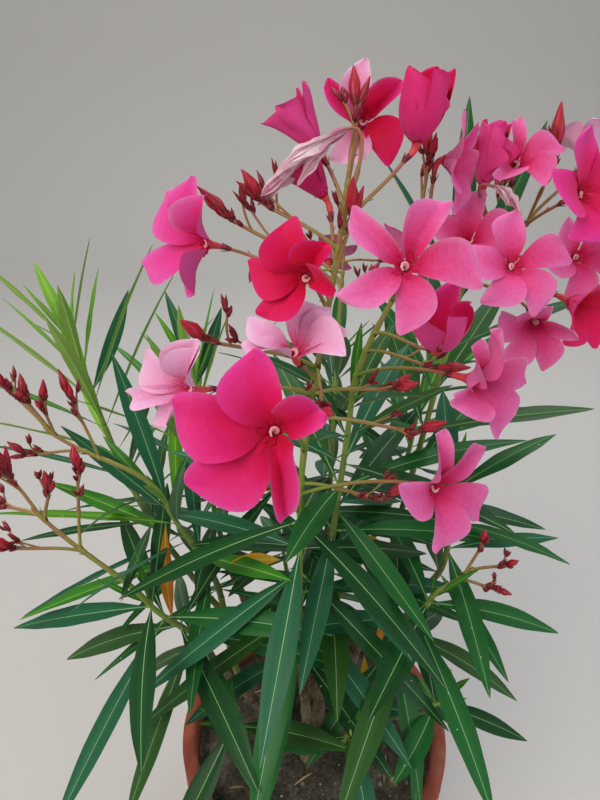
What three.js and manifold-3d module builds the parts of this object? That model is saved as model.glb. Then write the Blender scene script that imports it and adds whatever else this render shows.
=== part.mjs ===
// Potted oleander: a flowering shrub of seven canes in a round clay pot.
// Millimetres, +Z up. The origin is the centre of the pot's flat underside, and -Y is the side
// that the blossom leans to. Turns are compass degrees about +Z, from +X towards +Y.
import * as THREE from 'three';
import { mergeVertices } from 'three/addons/utils/BufferGeometryUtils.js';
import Module from 'manifold-3d';

const wasm = await Module();
wasm.setup();

// Pot and soil
const potHeight = 245;
const rimRadius = 140;
const rimDepth = 38;
const rimWall = 15;
const potWall = 9;
const footRadius = 98;
const floorThickness = 12;
const drainHoleRadius = 7;
const drainHoleRing = 46;
const drainHoles = 3;
const soilLevel = 224;
const soilDip = 5;

// Plant
const gap = 0.3;
const caneRadius = 6.2;
const caneFlare = 3.6;
const boughRadius = 3.6;
const shootRadius = 2.9;
const shootTipRadius = 2.1;
const branchRadius = 1.3;
const trussRadius = 2.4;
const trussTipRadius = 1.4;
const leafLength = 152;
const leafWidth = 21;
const leafThickness = 1.9;
const whorlLeaves = 3;
const petalThickness = 1.8;
const bloomPetals = 5;
const throat = 0.045;
const budLength = 21;
const budWidth = 4.4;
const budKnob = 2.3;
const leafRoom = 0.5;
const weldRoom = 0.1;
const leafNudges = [0, 12, -12, 24, -24, 36, -36];

const barkBrown = '#6b5a3e';
const barkGreen = '#6f7d34';
const leafGreen = '#2c5a30';
const bloomPink = '#d9327a';

const up = new THREE.Vector3(0, 0, 1);
const east = new THREE.Vector3(1, 0, 0);

// Canes: where each stands on the soil, and where its first leaves begin.
const canes = {
  front: { foot: [-6, -26], tip: [-14, -40, 398] },
  middle: { foot: [5, 4], tip: [10, -2, 452] },
  left: { foot: [-38, -14], tip: [-98, -38, 412] },
  right: { foot: [36, -14], tip: [60, -32, 384] },
  back_right: { foot: [30, 22], tip: [74, 50, 440] },
  back_left: { foot: [-32, 28], tip: [-92, 66, 430] },
  back: { foot: [2, 46], tip: [14, 100, 424] },
};

// Side boughs: the cane that each forks from, how far up it, and its own tip.
const boughs = {
  left_inner: { cane: 'left', at: 0.5, tip: [-88, 2, 432] },
  far_left: { cane: 'back_left', at: 0.52, tip: [-136, 44, 442] },
  right_outer: { cane: 'back_right', at: 0.5, tip: [110, 12, 446] },
  back_outer: { cane: 'back', at: 0.5, tip: [82, 124, 436] },
  low_front: { cane: 'front', at: 0.34, tip: [18, -66, 322] },
  low_left: { cane: 'left', at: 0.3, tip: [-62, -58, 326] },
  low_right: { cane: 'right', at: 0.4, tip: [88, -50, 334] },
  low_back: { cane: 'back', at: 0.3, tip: [-24, 96, 334] },
};

// Leafy shoots: the limb that each grows on from, its tip, its whorls of leaves, the turn of the
// top whorl, the angle that leaves open from the stem at the bottom and at the top whorl, how far
// they sag, their size as a share of the usual leaf's, and the top leaves' own share of that. On a
// shoot with slim leaves their width is a smaller share too.
const shoots = {
  front: { tip: [-15, -60, 583], whorls: 7, turn: -42, open: [118, 108],
    sag: 0.1, size: 1, top: 1 },
  middle: { tip: [22, -14, 650], whorls: 8, turn: -60, open: [95, 46],
    sag: 0.1, size: 0.94, top: 0.72 },
  left: { tip: [-135, -53, 484], whorls: 5, turn: 172, open: [112, 82],
    sag: 0.1, size: 1, top: 1 },
  right: { tip: [89, -51, 487], whorls: 5, turn: -8, open: [118, 84],
    sag: 0.12, size: 0.86, top: 1 },
  back_right: { tip: [110, 60, 706], whorls: 7, turn: 45, open: [80, 42],
    sag: 0.03, size: 0.84, top: 1.1 },
  back_left: { tip: [-118, 132, 590], whorls: 8, turn: 150, open: [92, 24],
    sag: 0.06, size: 1, top: 0.72, slim: 0.66 },
  back: { tip: [22, 146, 612], whorls: 9, turn: 90, open: [100, 40],
    sag: 0.1, size: 1, top: 0.72 },
  left_inner: { tip: [-128, 6, 540], whorls: 6, turn: 140, open: [100, 40],
    sag: 0.06, size: 1, top: 0.72, slim: 0.76 },
  far_left: { tip: [-216, 92, 652], whorls: 9, turn: 120, open: [82, 24],
    sag: 0.03, size: 1, top: 0.72, slim: 0.62 },
  right_outer: { tip: [112, 14, 548], whorls: 4, turn: 10, open: [100, 60],
    sag: 0.1, size: 0.8, top: 1 },
  back_outer: { tip: [112, 150, 596], whorls: 6, turn: 60, open: [92, 26],
    sag: 0.08, size: 0.84, top: 0.72 },
  low_front: { tip: [26, -84, 356], whorls: 1, turn: -70, open: [112, 100],
    sag: 0.12, size: 0.56, top: 1 },
  low_left: { tip: [-74, -78, 362], whorls: 1, turn: -120, open: [112, 96],
    sag: 0.12, size: 0.8, top: 1 },
  low_right: { tip: [104, -64, 372], whorls: 2, turn: -20, open: [112, 90],
    sag: 0.12, size: 0.66, top: 1 },
  low_back: { tip: [-34, 116, 378], whorls: 3, turn: 110, open: [108, 80],
    sag: 0.12, size: 0.9, top: 1 },
};

// Blossom trusses: each grows on from a shoot. A bloom's branch leaves the truss at a share of its
// height; the bloom's face stands at a turn, a reach and a rise from the truss's foot, and looks
// along a turn and a tilt. Its size is across the petals, open is how far they are spread, and spin
// turns them about its middle. A fan of buds stands at its own turn, reach and rise, and its size is
// a share of the usual bud's. A spent bloom hangs along its own heading.
const trusses = {
  front: {
    shoot: 'front', top: [12, -40, 811],
    blooms: [
      { from: 0.24, turn: -95, reach: 117, rise: 146, look: [-88, 30], size: 71, open: 1, spin: 6 },
      { from: 0.42, turn: -145, reach: 74, rise: 125, look: [-128, 24], size: 62, open: 0.9, spin: -8 },
      { from: 0.66, turn: -82, reach: 21, rise: 181, look: [-106, 22], size: 57, open: 0.85, spin: 20 },
      { from: 0.46, turn: -96, reach: 28, rise: 141, look: [-90, 66], size: 60, open: 0.85, spin: 0 },
      { from: 0.7, turn: 160, reach: 60, rise: 187, look: [-130, 14], size: 70, open: 0.9, spin: 10 },
      { from: 0.92, turn: 80, reach: 51, rise: 237, look: [168, 50], size: 55, open: 0.3, spin: 0 },
      { from: 0.97, turn: 64, reach: 88, rise: 247, look: [-92, 14], size: 64, open: 0.8, spin: 14 },
      { from: 0.86, turn: 29, reach: 75, rise: 242, look: [-30, 84], size: 57, open: 0.08, spin: 0 },
      { from: 0.78, turn: 71, reach: 42, rise: 211, look: [165, 52], size: 44, open: 0.3, spin: 0 },
      { from: 0.08, turn: -34, reach: 95, rise: 66, look: [-58, 20], size: 70, open: 1, spin: 8 },
    ],
    buds: [
      { from: 0.74, turn: 147, reach: 48, rise: 200, size: 1.5, count: 3 },
      { from: 0.82, turn: 125, reach: 38, rise: 208, size: 1.3, count: 2 },
      { from: 0.95, turn: 51, reach: 50, rise: 256, size: 1.1, count: 2 },
      { from: 0.12, turn: -20, reach: 58, rise: 30, size: 1.1, count: 2 },
      { from: 0.42, turn: -16, reach: 58, rise: 111, size: 1.1, count: 3 },
      { from: 0.34, turn: -14, reach: 76, rise: 82, size: 1.1, count: 3 },
      { from: 0.5, turn: -71, reach: 39, rise: 110, size: 1, count: 1 },
      { from: 0.72, turn: 23, reach: 31, rise: 203, size: 1.1, count: 3 },
      { from: 0.5, turn: -162, reach: 56, rise: 143, size: 1.5, count: 1 },
    ],
    spent: { from: 0.8, turn: 45, reach: 34, rise: 248, heading: 174, length: 66 },
  },
  middle: {
    shoot: 'middle', top: [67, -4, 775],
    blooms: [
      { from: 0.6, turn: -82, reach: 96, rise: 129, look: [-98, 32], size: 70, open: 1, spin: -22 },
      { from: 0.15, turn: -55, reach: 101, rise: 61, look: [-54, 10], size: 66, open: 0.85, spin: -16 },
      { from: 0.4, turn: -52, reach: 71, rise: 69, look: [-110, 74], size: 56, open: 0.18, spin: 0 },
      { from: 0.94, turn: 14, reach: 54, rise: 160, look: [-30, 0], size: 58, open: 0.85, spin: 30 },
      { from: 0.8, turn: 18, reach: 79, rise: 109, look: [-104, 40], size: 60, open: 0.8, spin: 0 },
    ],
    buds: [
      { from: 0.8, turn: 20, reach: 44, rise: 160, size: 1.1, count: 3 },
      { from: 0.3, turn: -36, reach: 60, rise: 44, size: 1.1, count: 2 },
    ],
  },
  right: {
    shoot: 'back_right', top: [150, 50, 763],
    blooms: [
      { from: 0.3, turn: -86, reach: 87, rise: 47, look: [-86, 36], size: 66, open: 1, spin: 0 },
      { from: 0.7, turn: -52, reach: 81, rise: 85, look: [-60, 26], size: 72, open: 0.95, spin: 10 },
      { from: 0.8, turn: -67, reach: 38, rise: 98, look: [-88, 46], size: 54, open: 0.85, spin: 0 },
      { from: 0.5, turn: -98, reach: 38, rise: 88, look: [-60, 84], size: 58, open: 0, spin: 0 },
      { from: 0.15, turn: -55, reach: 92, rise: 19, look: [-64, -6], size: 60, open: 0.6, spin: 0 },
      { from: 0.1, turn: -71, reach: 87, rise: 8, look: [-108, -14], size: 58, open: 0.6, spin: 0 },
      { from: 0.95, turn: 7, reach: 77, rise: 99, look: [90, 60], size: 52, open: 0.7, spin: 0 },
      { from: 0.4, turn: -31, reach: 77, rise: 38, look: [-84, 24], size: 56, open: 0.9, spin: 30 },
    ],
    buds: [
      { from: 0.95, turn: -24, reach: 50, rise: 98, size: 1.7, count: 1 },
      { from: 0.6, turn: 52, reach: 50, rise: 68, size: 1.1, count: 3 },
    ],
  },
  left: {
    shoot: 'left', top: [-203, -60, 590],
    blooms: [],
    buds: [
      { from: 0.62, turn: 175, reach: 35, rise: 131, size: 1.1, count: 3 },
      { from: 0.6, turn: -161, reach: 84, rise: 87, size: 1.2, count: 3 },
      { from: 0.95, turn: -178, reach: 80, rise: 131, size: 1.3, count: 4 },
      { from: 0.9, turn: -166, reach: 52, rise: 124, size: 1, count: 3 },
      { from: 0.93, turn: 177, reach: 98, rise: 98, size: 1, count: 3 },
    ],
  },
  left_inner: {
    shoot: 'left_inner', top: [-215, 10, 612],
    blooms: [],
    buds: [
      { from: 0.6, turn: 171, reach: 65, rise: 93, size: 1.1, count: 3 },
      { from: 0.92, turn: 180, reach: 83, rise: 92, size: 1.1, count: 3 },
      { from: 0.95, turn: 175, reach: 100, rise: 95, size: 1, count: 3 },
      { from: 0.98, turn: 171, reach: 117, rise: 98, size: 1.1, count: 4 },
      { from: 0.7, turn: -174, reach: 101, rise: 55, size: 0.9, count: 2 },
    ],
  },
  right_low: {
    shoot: 'right', top: [120, -46, 516],
    blooms: [],
    buds: [
      { from: 0.8, turn: 12, reach: 38, rise: 54, size: 0.6, count: 4 },
      { from: 0.97, turn: 0, reach: 56, rise: 38, size: 0.6, count: 4 },
      { from: 0.7, turn: -14, reach: 48, rise: 24, size: 0.6, count: 4 },
    ],
  },
  back: {
    shoot: 'back', top: [26, 168, 706],
    blooms: [
      { from: 0.6, turn: 96, reach: 76, rise: 70, look: [92, 34], size: 66, open: 1, spin: 0 },
      { from: 0.8, turn: 168, reach: 60, rise: 84, look: [150, 36], size: 62, open: 0.9, spin: 0 },
      { from: 0.9, turn: 30, reach: 62, rise: 88, look: [34, 40], size: 62, open: 0.9, spin: 0 },
    ],
    buds: [
      { from: 0.7, turn: 130, reach: 48, rise: 92, size: 1.1, count: 3 },
      { from: 0.5, turn: 52, reach: 52, rise: 64, size: 1.1, count: 3 },
    ],
  },
};

// A repeatable stream of numbers between two limits.
function dice(seed) {
  let state = seed;
  return (low, high) => {
    state = (state * 1664525 + 1013904223) % 4294967296;
    return low + (high - low) * (state / 4294967296);
  };
}

function mix(from, to, share) {
  return from + (to - from) * share;
}

function compass(turn, tilt = 0) {
  const t = THREE.MathUtils.degToRad(turn);
  const e = THREE.MathUtils.degToRad(tilt);
  return new THREE.Vector3(Math.cos(t) * Math.cos(e), Math.sin(t) * Math.cos(e), Math.sin(e));
}

// A limb's line: it leaves along one direction and ends along its chord, raised a little.
function limbLine(start, leave, end) {
  const chord = end.clone().sub(start);
  const third = chord.length() * 0.36;
  const arrive = chord.normalize().addScaledVector(up, 0.35).normalize();
  return new THREE.CubicBezierCurve3(
    start, start.clone().addScaledVector(leave, third),
    end.clone().addScaledVector(arrive, -third), end);
}

// Lays a unit cylinder or cone, long in Y from -0.5 to 0.5, along a line. sizeAt gives the half width
// across the line and the half depth at a share of its length, in place of the shape's own taper;
// across says which way the width lies.
function layAlong(shape, line, across, sizeAt) {
  const place = shape.getAttribute('position');
  const side = new THREE.Vector3();
  for (let i = 0; i < place.count; i += 1) {
    const share = THREE.MathUtils.clamp(place.getY(i) + 0.5, 0, 1);
    const along = line.getTangent(share);
    side.copy(across).addScaledVector(along, -across.dot(along)).normalize();
    const deep = side.clone().cross(along);
    const [halfWidth, halfDepth] = sizeAt(share);
    const ring = Math.hypot(place.getX(i), place.getZ(i)) || 1;
    const spot = line.getPoint(share)
      .addScaledVector(side, place.getX(i) / ring * halfWidth)
      .addScaledVector(deep, place.getZ(i) / ring * halfDepth);
    place.setXYZ(i, spot.x, spot.y, spot.z);
  }
  return solidOf(shape);
}

function solidOf(shape) {
  shape.deleteAttribute('normal');
  shape.deleteAttribute('uv');
  const welded = mergeVertices(shape, 0.0001);
  return new wasm.Manifold(new wasm.Mesh({
    numProp: 3,
    vertProperties: new Float32Array(welded.getAttribute('position').array),
    triVerts: new Uint32Array(welded.getIndex().array),
  }));
}

function acrossOf(direction) {
  const level = up.clone().cross(direction);
  return level.length() > 0.25 ? level.normalize() : east.clone();
}

function limbSolid(line, radiusAt, sides, steps) {
  const shape = new THREE.CylinderGeometry(1, 1, 1, sides, steps);
  const across = acrossOf(line.getPoint(1).sub(line.getPoint(0)).normalize());
  return layAlong(shape, line, across, (share) => [radiusAt(share), radiusAt(share)]);
}

// Pieces of each node, kept apart until they are fused, so that a new leaf can be tested.
const pieces = {};

function addPiece(node, solid, blade = null) {
  pieces[node] = pieces[node] ?? [];
  pieces[node].push({ solid, box: solid.boundingBox(), blade });
}

function boxesMeet(a, b) {
  return [0, 1, 2].every((i) => a.min[i] < b.max[i] && b.min[i] < a.max[i]);
}

function touches(solid, box, other) {
  if (!other || !boxesMeet(box, other.boundingBox())) return false;
  const shared = solid.intersect(other);
  const empty = shared.isEmpty();
  shared.delete();
  return !empty;
}

// True where a leaf touches nothing of another node, and its blade no blade of its own node.
function standsClear(node, leaf, blade) {
  const box = leaf.boundingBox();
  return Object.entries(pieces).every(([other, list]) => list.every((piece) => {
    if (!boxesMeet(box, piece.box)) return true;
    return other === node ? !touches(blade, box, piece.blade) : !touches(leaf, box, piece.solid);
  }));
}

// The pot: a tapered wall, a deep rolled rim, a flat floor and drain holes off its centre.
function potSolid() {
  const shoulder = potHeight - rimDepth;
  const inside = rimRadius - rimWall;
  const outline = new THREE.Path();
  outline.moveTo(0, 0);
  outline.lineTo(footRadius - 3, 0);
  outline.lineTo(footRadius, 3);
  outline.lineTo(rimRadius - 11, shoulder - 4);
  outline.lineTo(rimRadius - 2, shoulder);
  outline.lineTo(rimRadius, shoulder + 5);
  outline.lineTo(rimRadius, potHeight - 7);
  outline.absarc(rimRadius - 7, potHeight - 7, 7, 0, Math.PI / 2, false);
  outline.absarc(inside + 6, potHeight - 6, 6, Math.PI / 2, Math.PI, false);
  outline.lineTo(inside, shoulder);
  outline.lineTo(footRadius - potWall, floorThickness);
  outline.lineTo(0, floorThickness);
  const shape = new THREE.LatheGeometry(outline.getPoints(2), 32);
  shape.rotateX(Math.PI / 2);
  let solid = solidOf(shape);
  for (let hole = 0; hole < drainHoles; hole += 1) {
    const drill = new THREE.CylinderGeometry(drainHoleRadius, drainHoleRadius, 60, 8);
    const spot = compass(90 + hole * 360 / drainHoles).multiplyScalar(drainHoleRing);
    drill.rotateX(Math.PI / 2).translate(spot.x, spot.y, 0);
    solid = solid.subtract(solidOf(drill));
  }
  return solid;
}

// The soil fills the pot to below its rim, level where the canes stand and lower at the wall.
function soilSolid() {
  const floor = floorThickness + gap;
  const shoulder = potHeight - rimDepth;
  const inside = rimRadius - rimWall - gap * 1.5;
  const outline = [
    new THREE.Vector2(0, floor),
    new THREE.Vector2(footRadius - potWall - gap * 2, floor),
    new THREE.Vector2(inside, shoulder),
    new THREE.Vector2(inside, soilLevel - soilDip),
    new THREE.Vector2(inside - 26, soilLevel),
    new THREE.Vector2(0, soilLevel),
  ];
  const shape = new THREE.LatheGeometry(outline, 32);
  shape.rotateX(Math.PI / 2);
  return solidOf(shape);
}

// A cane: flat on the soil, flared at its foot, and tapering to where its leaves begin.
const limbLines = {};

function caneLine(cane) {
  const foot = new THREE.Vector3(cane.foot[0], cane.foot[1], soilLevel + gap);
  return limbLine(foot, up, new THREE.Vector3(...cane.tip));
}

function caneRadiusAt(share) {
  return mix(caneRadius, boughRadius, share) + caneFlare * Math.exp(-share * 9);
}

function boughRadiusAt(share) {
  return mix(boughRadius, shootRadius, share);
}

function growCanes() {
  for (const [name, cane] of Object.entries(canes)) {
    const line = caneLine(cane);
    limbLines[name] = line;
    addPiece(`cane_${name}`, limbSolid(line, caneRadiusAt, 7, 6));
  }
}

// A side bough starts on its cane's line and is cut back to just clear of the cane's bark.
function growBoughs() {
  for (const [name, bough] of Object.entries(boughs)) {
    const parent = limbLines[bough.cane];
    const start = parent.getPoint(bough.at);
    const end = new THREE.Vector3(...bough.tip);
    const leave = end.clone().sub(start).setZ(0).normalize().addScaledVector(up, 0.5).normalize();
    const line = limbLine(start, leave, end);
    limbLines[name] = line;
    const sleeve = limbSolid(parent, (share) => caneRadiusAt(share) + gap * 1.1, 7, 6);
    addPiece(`bough_${name}`, limbSolid(line, boughRadiusAt, 6, 4).subtract(sleeve));
  }
}

// A shoot's stem grows on from its limb's tip in the same direction, just clear of it.
function growOn(parent, end) {
  const leave = parent.getTangent(1);
  const start = parent.getPoint(1).addScaledVector(leave, gap);
  return limbLine(start, leave, end);
}

function leafLine(root, outward, stem, length, sag) {
  const tip = root.clone().addScaledVector(outward, length).addScaledVector(up, -length * sag);
  const middle = root.clone().addScaledVector(outward, length * 0.5)
    .addScaledVector(stem, length * 0.04);
  return new THREE.QuadraticBezierCurve3(root, middle, tip);
}

// A lance-shaped leaf: flat above, with a keel below, narrow at its root and pointed. It can be
// made from a share of its length on, as its blade alone.
const leafOutline = [0.06, 1, 0];

function leafSolid(line, across, width, room = 0, from = 0) {
  const shape = new THREE.ConeGeometry(1, 1, 3, 2);
  const bend = line.getPoint(0.5 + from / 2);
  const blade = new THREE.QuadraticBezierCurve3(line.getPoint(from), bend, line.v2);
  return layAlong(shape, from > 0 ? blade : line, across, (share) => {
    const ring = Math.round(share * 2);
    const half = ring === 0 ? mix(leafOutline[0], leafOutline[1], from * 2) : leafOutline[ring];
    return [half * width / 1.73 + room, leafThickness * (1 - share * 0.4) / 1.5 + room];
  });
}

// The way a leaf points: opened from its stem by an angle, at a turn about it.
function leafWay(along, turn, open) {
  const level = compass(turn);
  const radial = level.addScaledVector(along, -level.dot(along)).normalize();
  const lean = THREE.MathUtils.degToRad(open);
  return along.clone().multiplyScalar(Math.cos(lean)).addScaledVector(radial, Math.sin(lean));
}

// Whorls of three leaves up a shoot, each whorl turned by half a step against the one below.
function growLeaves(name, shoot, stem, seed) {
  const roll = dice(seed);
  const node = `leaves_${name}`;
  for (let whorl = 0; whorl < shoot.whorls; whorl += 1) {
    const share = shoot.whorls > 1 ? whorl / (shoot.whorls - 1) : 1;
    const height = mix(0.07, 0.97, share);
    const root = stem.getPoint(height);
    const along = stem.getTangent(height);
    const step = 360 / whorlLeaves;
    for (let leaf = 0; leaf < whorlLeaves; leaf += 1) {
      const turn = shoot.turn + (shoot.whorls - 1 - whorl) * step / 2 + leaf * step + roll(-9, 9);
      const open = mix(shoot.open[0], shoot.open[1], share) + roll(-8, 8);
      const young = share > 0.85 ? shoot.top : 1;
      const grown = young * mix(0.86, 1.04, Math.sin(share * Math.PI));
      const length = leafLength * shoot.size * grown * roll(0.9, 1.08);
      const width = leafWidth * (shoot.slim || 1) * young * roll(0.88, 1.1);
      const place = (nudge) => {
        const line = leafLine(root, leafWay(along, turn + nudge, open), along, length, shoot.sag);
        const across = along.clone().cross(line.v2.clone().sub(root)).normalize();
        const wanted = leafSolid(line, across, width, leafRoom);
        const blade = leafSolid(line, across, width, leafRoom, 0.16);
        const clear = standsClear(node, wanted, blade);
        if (clear) addPiece(node, leafSolid(line, across, width), blade);
        return clear;
      };
      leafNudges.some(place);
    }
  }
}

function branchLine(start, end, arrive) {
  const reach = end.distanceTo(start);
  const leave = end.clone().sub(start).normalize().addScaledVector(up, 0.3).normalize();
  return new THREE.CubicBezierCurve3(
    start, start.clone().addScaledVector(leave, reach * 0.35),
    end.clone().addScaledVector(arrive, -reach * 0.35), end);
}

// One bloom's face: a star-shaped plate of five petals, each notched from the next, with one
// shoulder lifted over its neighbour like a propeller's blade.
const petalRim = [
  { turn: -18, reach: 0.2, rise: 0 },
  { turn: 0, reach: 0.7, rise: 0.05 },
  { turn: 6, reach: 1, rise: -0.02 },
  { turn: 40, reach: 0.8, rise: -0.07 },
];

function bloomSolid(face, look, row) {
  const { size, open, spin } = row;
  const lift = THREE.MathUtils.degToRad(mix(76, 12, open));
  const petalLength = size * mix(0.62, 0.53, open);
  const side = acrossOf(look);
  const rise = look.clone().cross(side);
  const rim = [];
  for (let petal = 0; petal < bloomPetals; petal += 1) {
    for (const point of petalRim) {
      const angle = THREE.MathUtils.degToRad(petal * 360 / bloomPetals + point.turn + spin);
      const spot = new THREE.Vector3(Math.cos(angle), Math.sin(angle), point.rise);
      rim.push(spot.multiplyScalar(point.reach));
    }
  }
  const outline = new THREE.Shape(rim.map((point) => new THREE.Vector2(point.x, point.y)));
  const shape = new THREE.ExtrudeGeometry(outline, { depth: 1, bevelEnabled: false });
  const place = shape.getAttribute('position');
  for (let i = 0; i < place.count; i += 1) {
    const x = place.getX(i);
    const y = place.getY(i);
    const point = rim.find((each) => Math.abs(each.x - x) + Math.abs(each.y - y) < 0.001);
    const height = petalLength * (Math.hypot(x, y) * Math.sin(lift) + point.z);
    const spot = face.clone()
      .addScaledVector(side, petalLength * x * Math.cos(lift))
      .addScaledVector(rise, petalLength * y * Math.cos(lift))
      .addScaledVector(look, height + (place.getZ(i) - 0.5) * petalThickness);
    place.setXYZ(i, spot.x, spot.y, spot.z);
  }
  const heart = petalRim[0].reach * petalLength * Math.sin(lift);
  return { heart: face.clone().addScaledVector(look, heart), solid: solidOf(shape) };
}

function budSolid(root, direction, length, width) {
  const tip = root.clone().addScaledVector(direction, length);
  const outline = [0.3, 1, 0];
  return layAlong(new THREE.ConeGeometry(1, 1, 3, 2), new THREE.LineCurve3(root, tip),
    acrossOf(direction), (share) => {
      const radius = outline[Math.round(share * 2)] * width * 0.58;
      return [radius, radius];
    });
}

// A fan of spindle-shaped buds at the end of a branch.
function growBuds(node, end, outward, row, roll) {
  for (let bud = 0; bud < row.count; bud += 1) {
    const spread = compass(roll(0, 360), roll(-10, 40)).multiplyScalar(0.45);
    const direction = outward.clone().add(spread).addScaledVector(up, 0.35).normalize();
    const foot = end.clone().addScaledVector(outward, -budKnob);
    const length = budLength * row.size * roll(0.8, 1.25);
    addPiece(node, budSolid(foot, direction, length, budWidth * mix(1, row.size, 0.5)));
  }
}

function placeFrom(foot, row) {
  return foot.clone().addScaledVector(compass(row.turn), row.reach).setZ(foot.z + row.rise);
}

function branchSolid(line, endRadius = branchRadius) {
  const radii = [branchRadius * 0.9, branchRadius, branchRadius, endRadius];
  return limbSolid(line, (share) => radii[Math.round(share * 3)], 3, 3);
}

function growTruss(name, truss, seed) {
  const roll = dice(seed);
  const node = `blossom_${name}`;
  const foot = limbLines[`shoot_${truss.shoot}`].getPoint(1);
  const stem = growOn(limbLines[`shoot_${truss.shoot}`], new THREE.Vector3(...truss.top));
  addPiece(node, limbSolid(stem, (share) => mix(trussRadius, trussTipRadius, share), 5, 4));
  for (const row of truss.blooms) {
    const look = compass(...row.look);
    const { heart, solid } = bloomSolid(placeFrom(foot, row), look, row);
    addPiece(node, branchSolid(branchLine(stem.getPoint(row.from), heart, look), row.size * throat));
    addPiece(node, solid);
  }
  for (const row of truss.buds) {
    const start = stem.getPoint(row.from);
    const end = placeFrom(foot, row);
    const outward = end.clone().sub(start).normalize();
    addPiece(node, branchSolid(branchLine(start, end, outward), budKnob));
    growBuds(node, end, outward, row, roll);
  }
  if (truss.spent) growSpentBloom(node, stem, foot, truss.spent);
}

// A spent bloom: two limp, twisted petals hanging from their stalk.
function growSpentBloom(node, stem, foot, row) {
  const end = placeFrom(foot, row);
  const outward = compass(row.heading, -20);
  addPiece(node, branchSolid(branchLine(stem.getPoint(row.from), end, outward)));
  for (const swing of [-26, 24]) {
    const direction = compass(row.heading + swing, -38);
    const tip = end.clone().addScaledVector(direction, row.length);
    const middle = end.clone().addScaledVector(direction, row.length * 0.5).addScaledVector(up, 6);
    const root = end.clone().addScaledVector(outward, -1.5);
    const line = new THREE.QuadraticBezierCurve3(root, middle, tip);
    const outline = [0.3, 0.8, 1, 0];
    addPiece(node, layAlong(new THREE.ConeGeometry(1, 1, 3, 3), line, acrossOf(direction), (share) => [
      outline[Math.round(share * 3)] * 7,
      petalThickness,
    ]));
  }
}

// Fuses a node's pieces, keeping the outer skin of the largest body.
function fuse(list) {
  const whole = wasm.Manifold.union(list.map((piece) => piece.solid)).simplify(weldRoom);
  return whole.decompose().reduce((best, body) => (body.volume() > best.volume() ? body : best));
}

function meshOf(name, solid, material) {
  const { vertProperties, triVerts } = solid.getMesh();
  const shape = new THREE.BufferGeometry();
  shape.setAttribute('position', new THREE.BufferAttribute(vertProperties, 3));
  shape.setIndex(new THREE.BufferAttribute(triVerts, 1));
  shape.computeVertexNormals();
  const mesh = new THREE.Mesh(shape, material);
  mesh.name = name;
  return mesh;
}

function surface(color, roughness) {
  return new THREE.MeshStandardMaterial({ color, roughness, metalness: 0 });
}

const finishes = {
  pot: surface('#9a4632', 0.7),
  soil: surface('#4a4238', 0.95),
  cane: surface(barkBrown, 0.8),
  bough: surface(barkGreen, 0.7),
  leaves: surface(leafGreen, 0.45),
  blossom: surface(bloomPink, 0.6),
};

addPiece('pot', potSolid());
addPiece('soil', soilSolid());
growCanes();
growBoughs();
for (const [name, shoot] of Object.entries(shoots)) {
  const stem = growOn(limbLines[name], new THREE.Vector3(...shoot.tip));
  limbLines[`shoot_${name}`] = stem;
  addPiece(`leaves_${name}`, limbSolid(stem, (share) => mix(shootRadius, shootTipRadius, share), 5, 5));
}
Object.entries(trusses).forEach(([name, truss], order) => growTruss(name, truss, 300 + order));
Object.entries(shoots).forEach(([name, shoot], order) => {
  growLeaves(name, shoot, limbLines[`shoot_${name}`], 100 + order);
});

const oleander = new THREE.Group();
for (const [name, list] of Object.entries(pieces)) {
  const kind = name.split('_')[0];
  oleander.add(meshOf(name, fuse(list), finishes[kind]));
}

export default oleander;
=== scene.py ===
# Potted oleander: the finished looks of the shrub, its soil and its clay pot.
# The growing rule works in millimetres, as the solids do, and the meshes go out in metres.
import math

import bmesh
import bpy
import numpy as np
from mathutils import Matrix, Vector, noise
from mathutils.bvhtree import BVHTree


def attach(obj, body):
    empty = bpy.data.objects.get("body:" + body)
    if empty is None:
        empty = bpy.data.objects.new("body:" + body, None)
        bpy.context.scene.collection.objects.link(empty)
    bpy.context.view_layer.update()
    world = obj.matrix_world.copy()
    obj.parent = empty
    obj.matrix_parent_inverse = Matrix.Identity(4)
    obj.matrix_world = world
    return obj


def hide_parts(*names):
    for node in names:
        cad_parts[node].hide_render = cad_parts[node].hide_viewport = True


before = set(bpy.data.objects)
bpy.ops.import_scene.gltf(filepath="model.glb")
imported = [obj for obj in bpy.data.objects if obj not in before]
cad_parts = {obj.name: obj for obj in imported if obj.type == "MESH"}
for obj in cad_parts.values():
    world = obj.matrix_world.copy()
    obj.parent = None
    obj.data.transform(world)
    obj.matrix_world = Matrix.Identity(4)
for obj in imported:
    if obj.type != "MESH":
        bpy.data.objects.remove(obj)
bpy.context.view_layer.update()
mm = 0.001
up = np.array([0.0, 0.0, 1.0])
east = np.array([1.0, 0.0, 0.0])


# Helpers: numbers, directions and lines

def dice(seed):
    state = [seed]

    def roll(low, high):
        state[0] = (state[0] * 1664525 + 1013904223) % 4294967296
        return low + (high - low) * state[0] / 4294967296
    return roll


def mix(start, end, share):
    return start + (end - start) * share


def unit(v):
    return v / np.linalg.norm(v)


def compass(turn, tilt=0.0):
    t = math.radians(turn)
    e = math.radians(tilt)
    return np.array([math.cos(t) * math.cos(e), math.sin(t) * math.cos(e), math.sin(e)])


def acrossOf(direction):
    level = np.cross(up, direction)
    return unit(level) if np.linalg.norm(level) > 0.25 else east.copy()


def axesOf(direction):  # two unit vectors square to it and to each other
    side = acrossOf(direction)
    return side, np.cross(direction, side)


def around(side, rise, turn):
    angle = math.radians(turn)
    return side * math.cos(angle) + rise * math.sin(angle)


def stray(way, roll, low, high, wide, lift=0.0):  # a direction that strays from another
    return unit(way + compass(roll(0, 360), roll(low, high)) * wide + up * lift)


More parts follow.
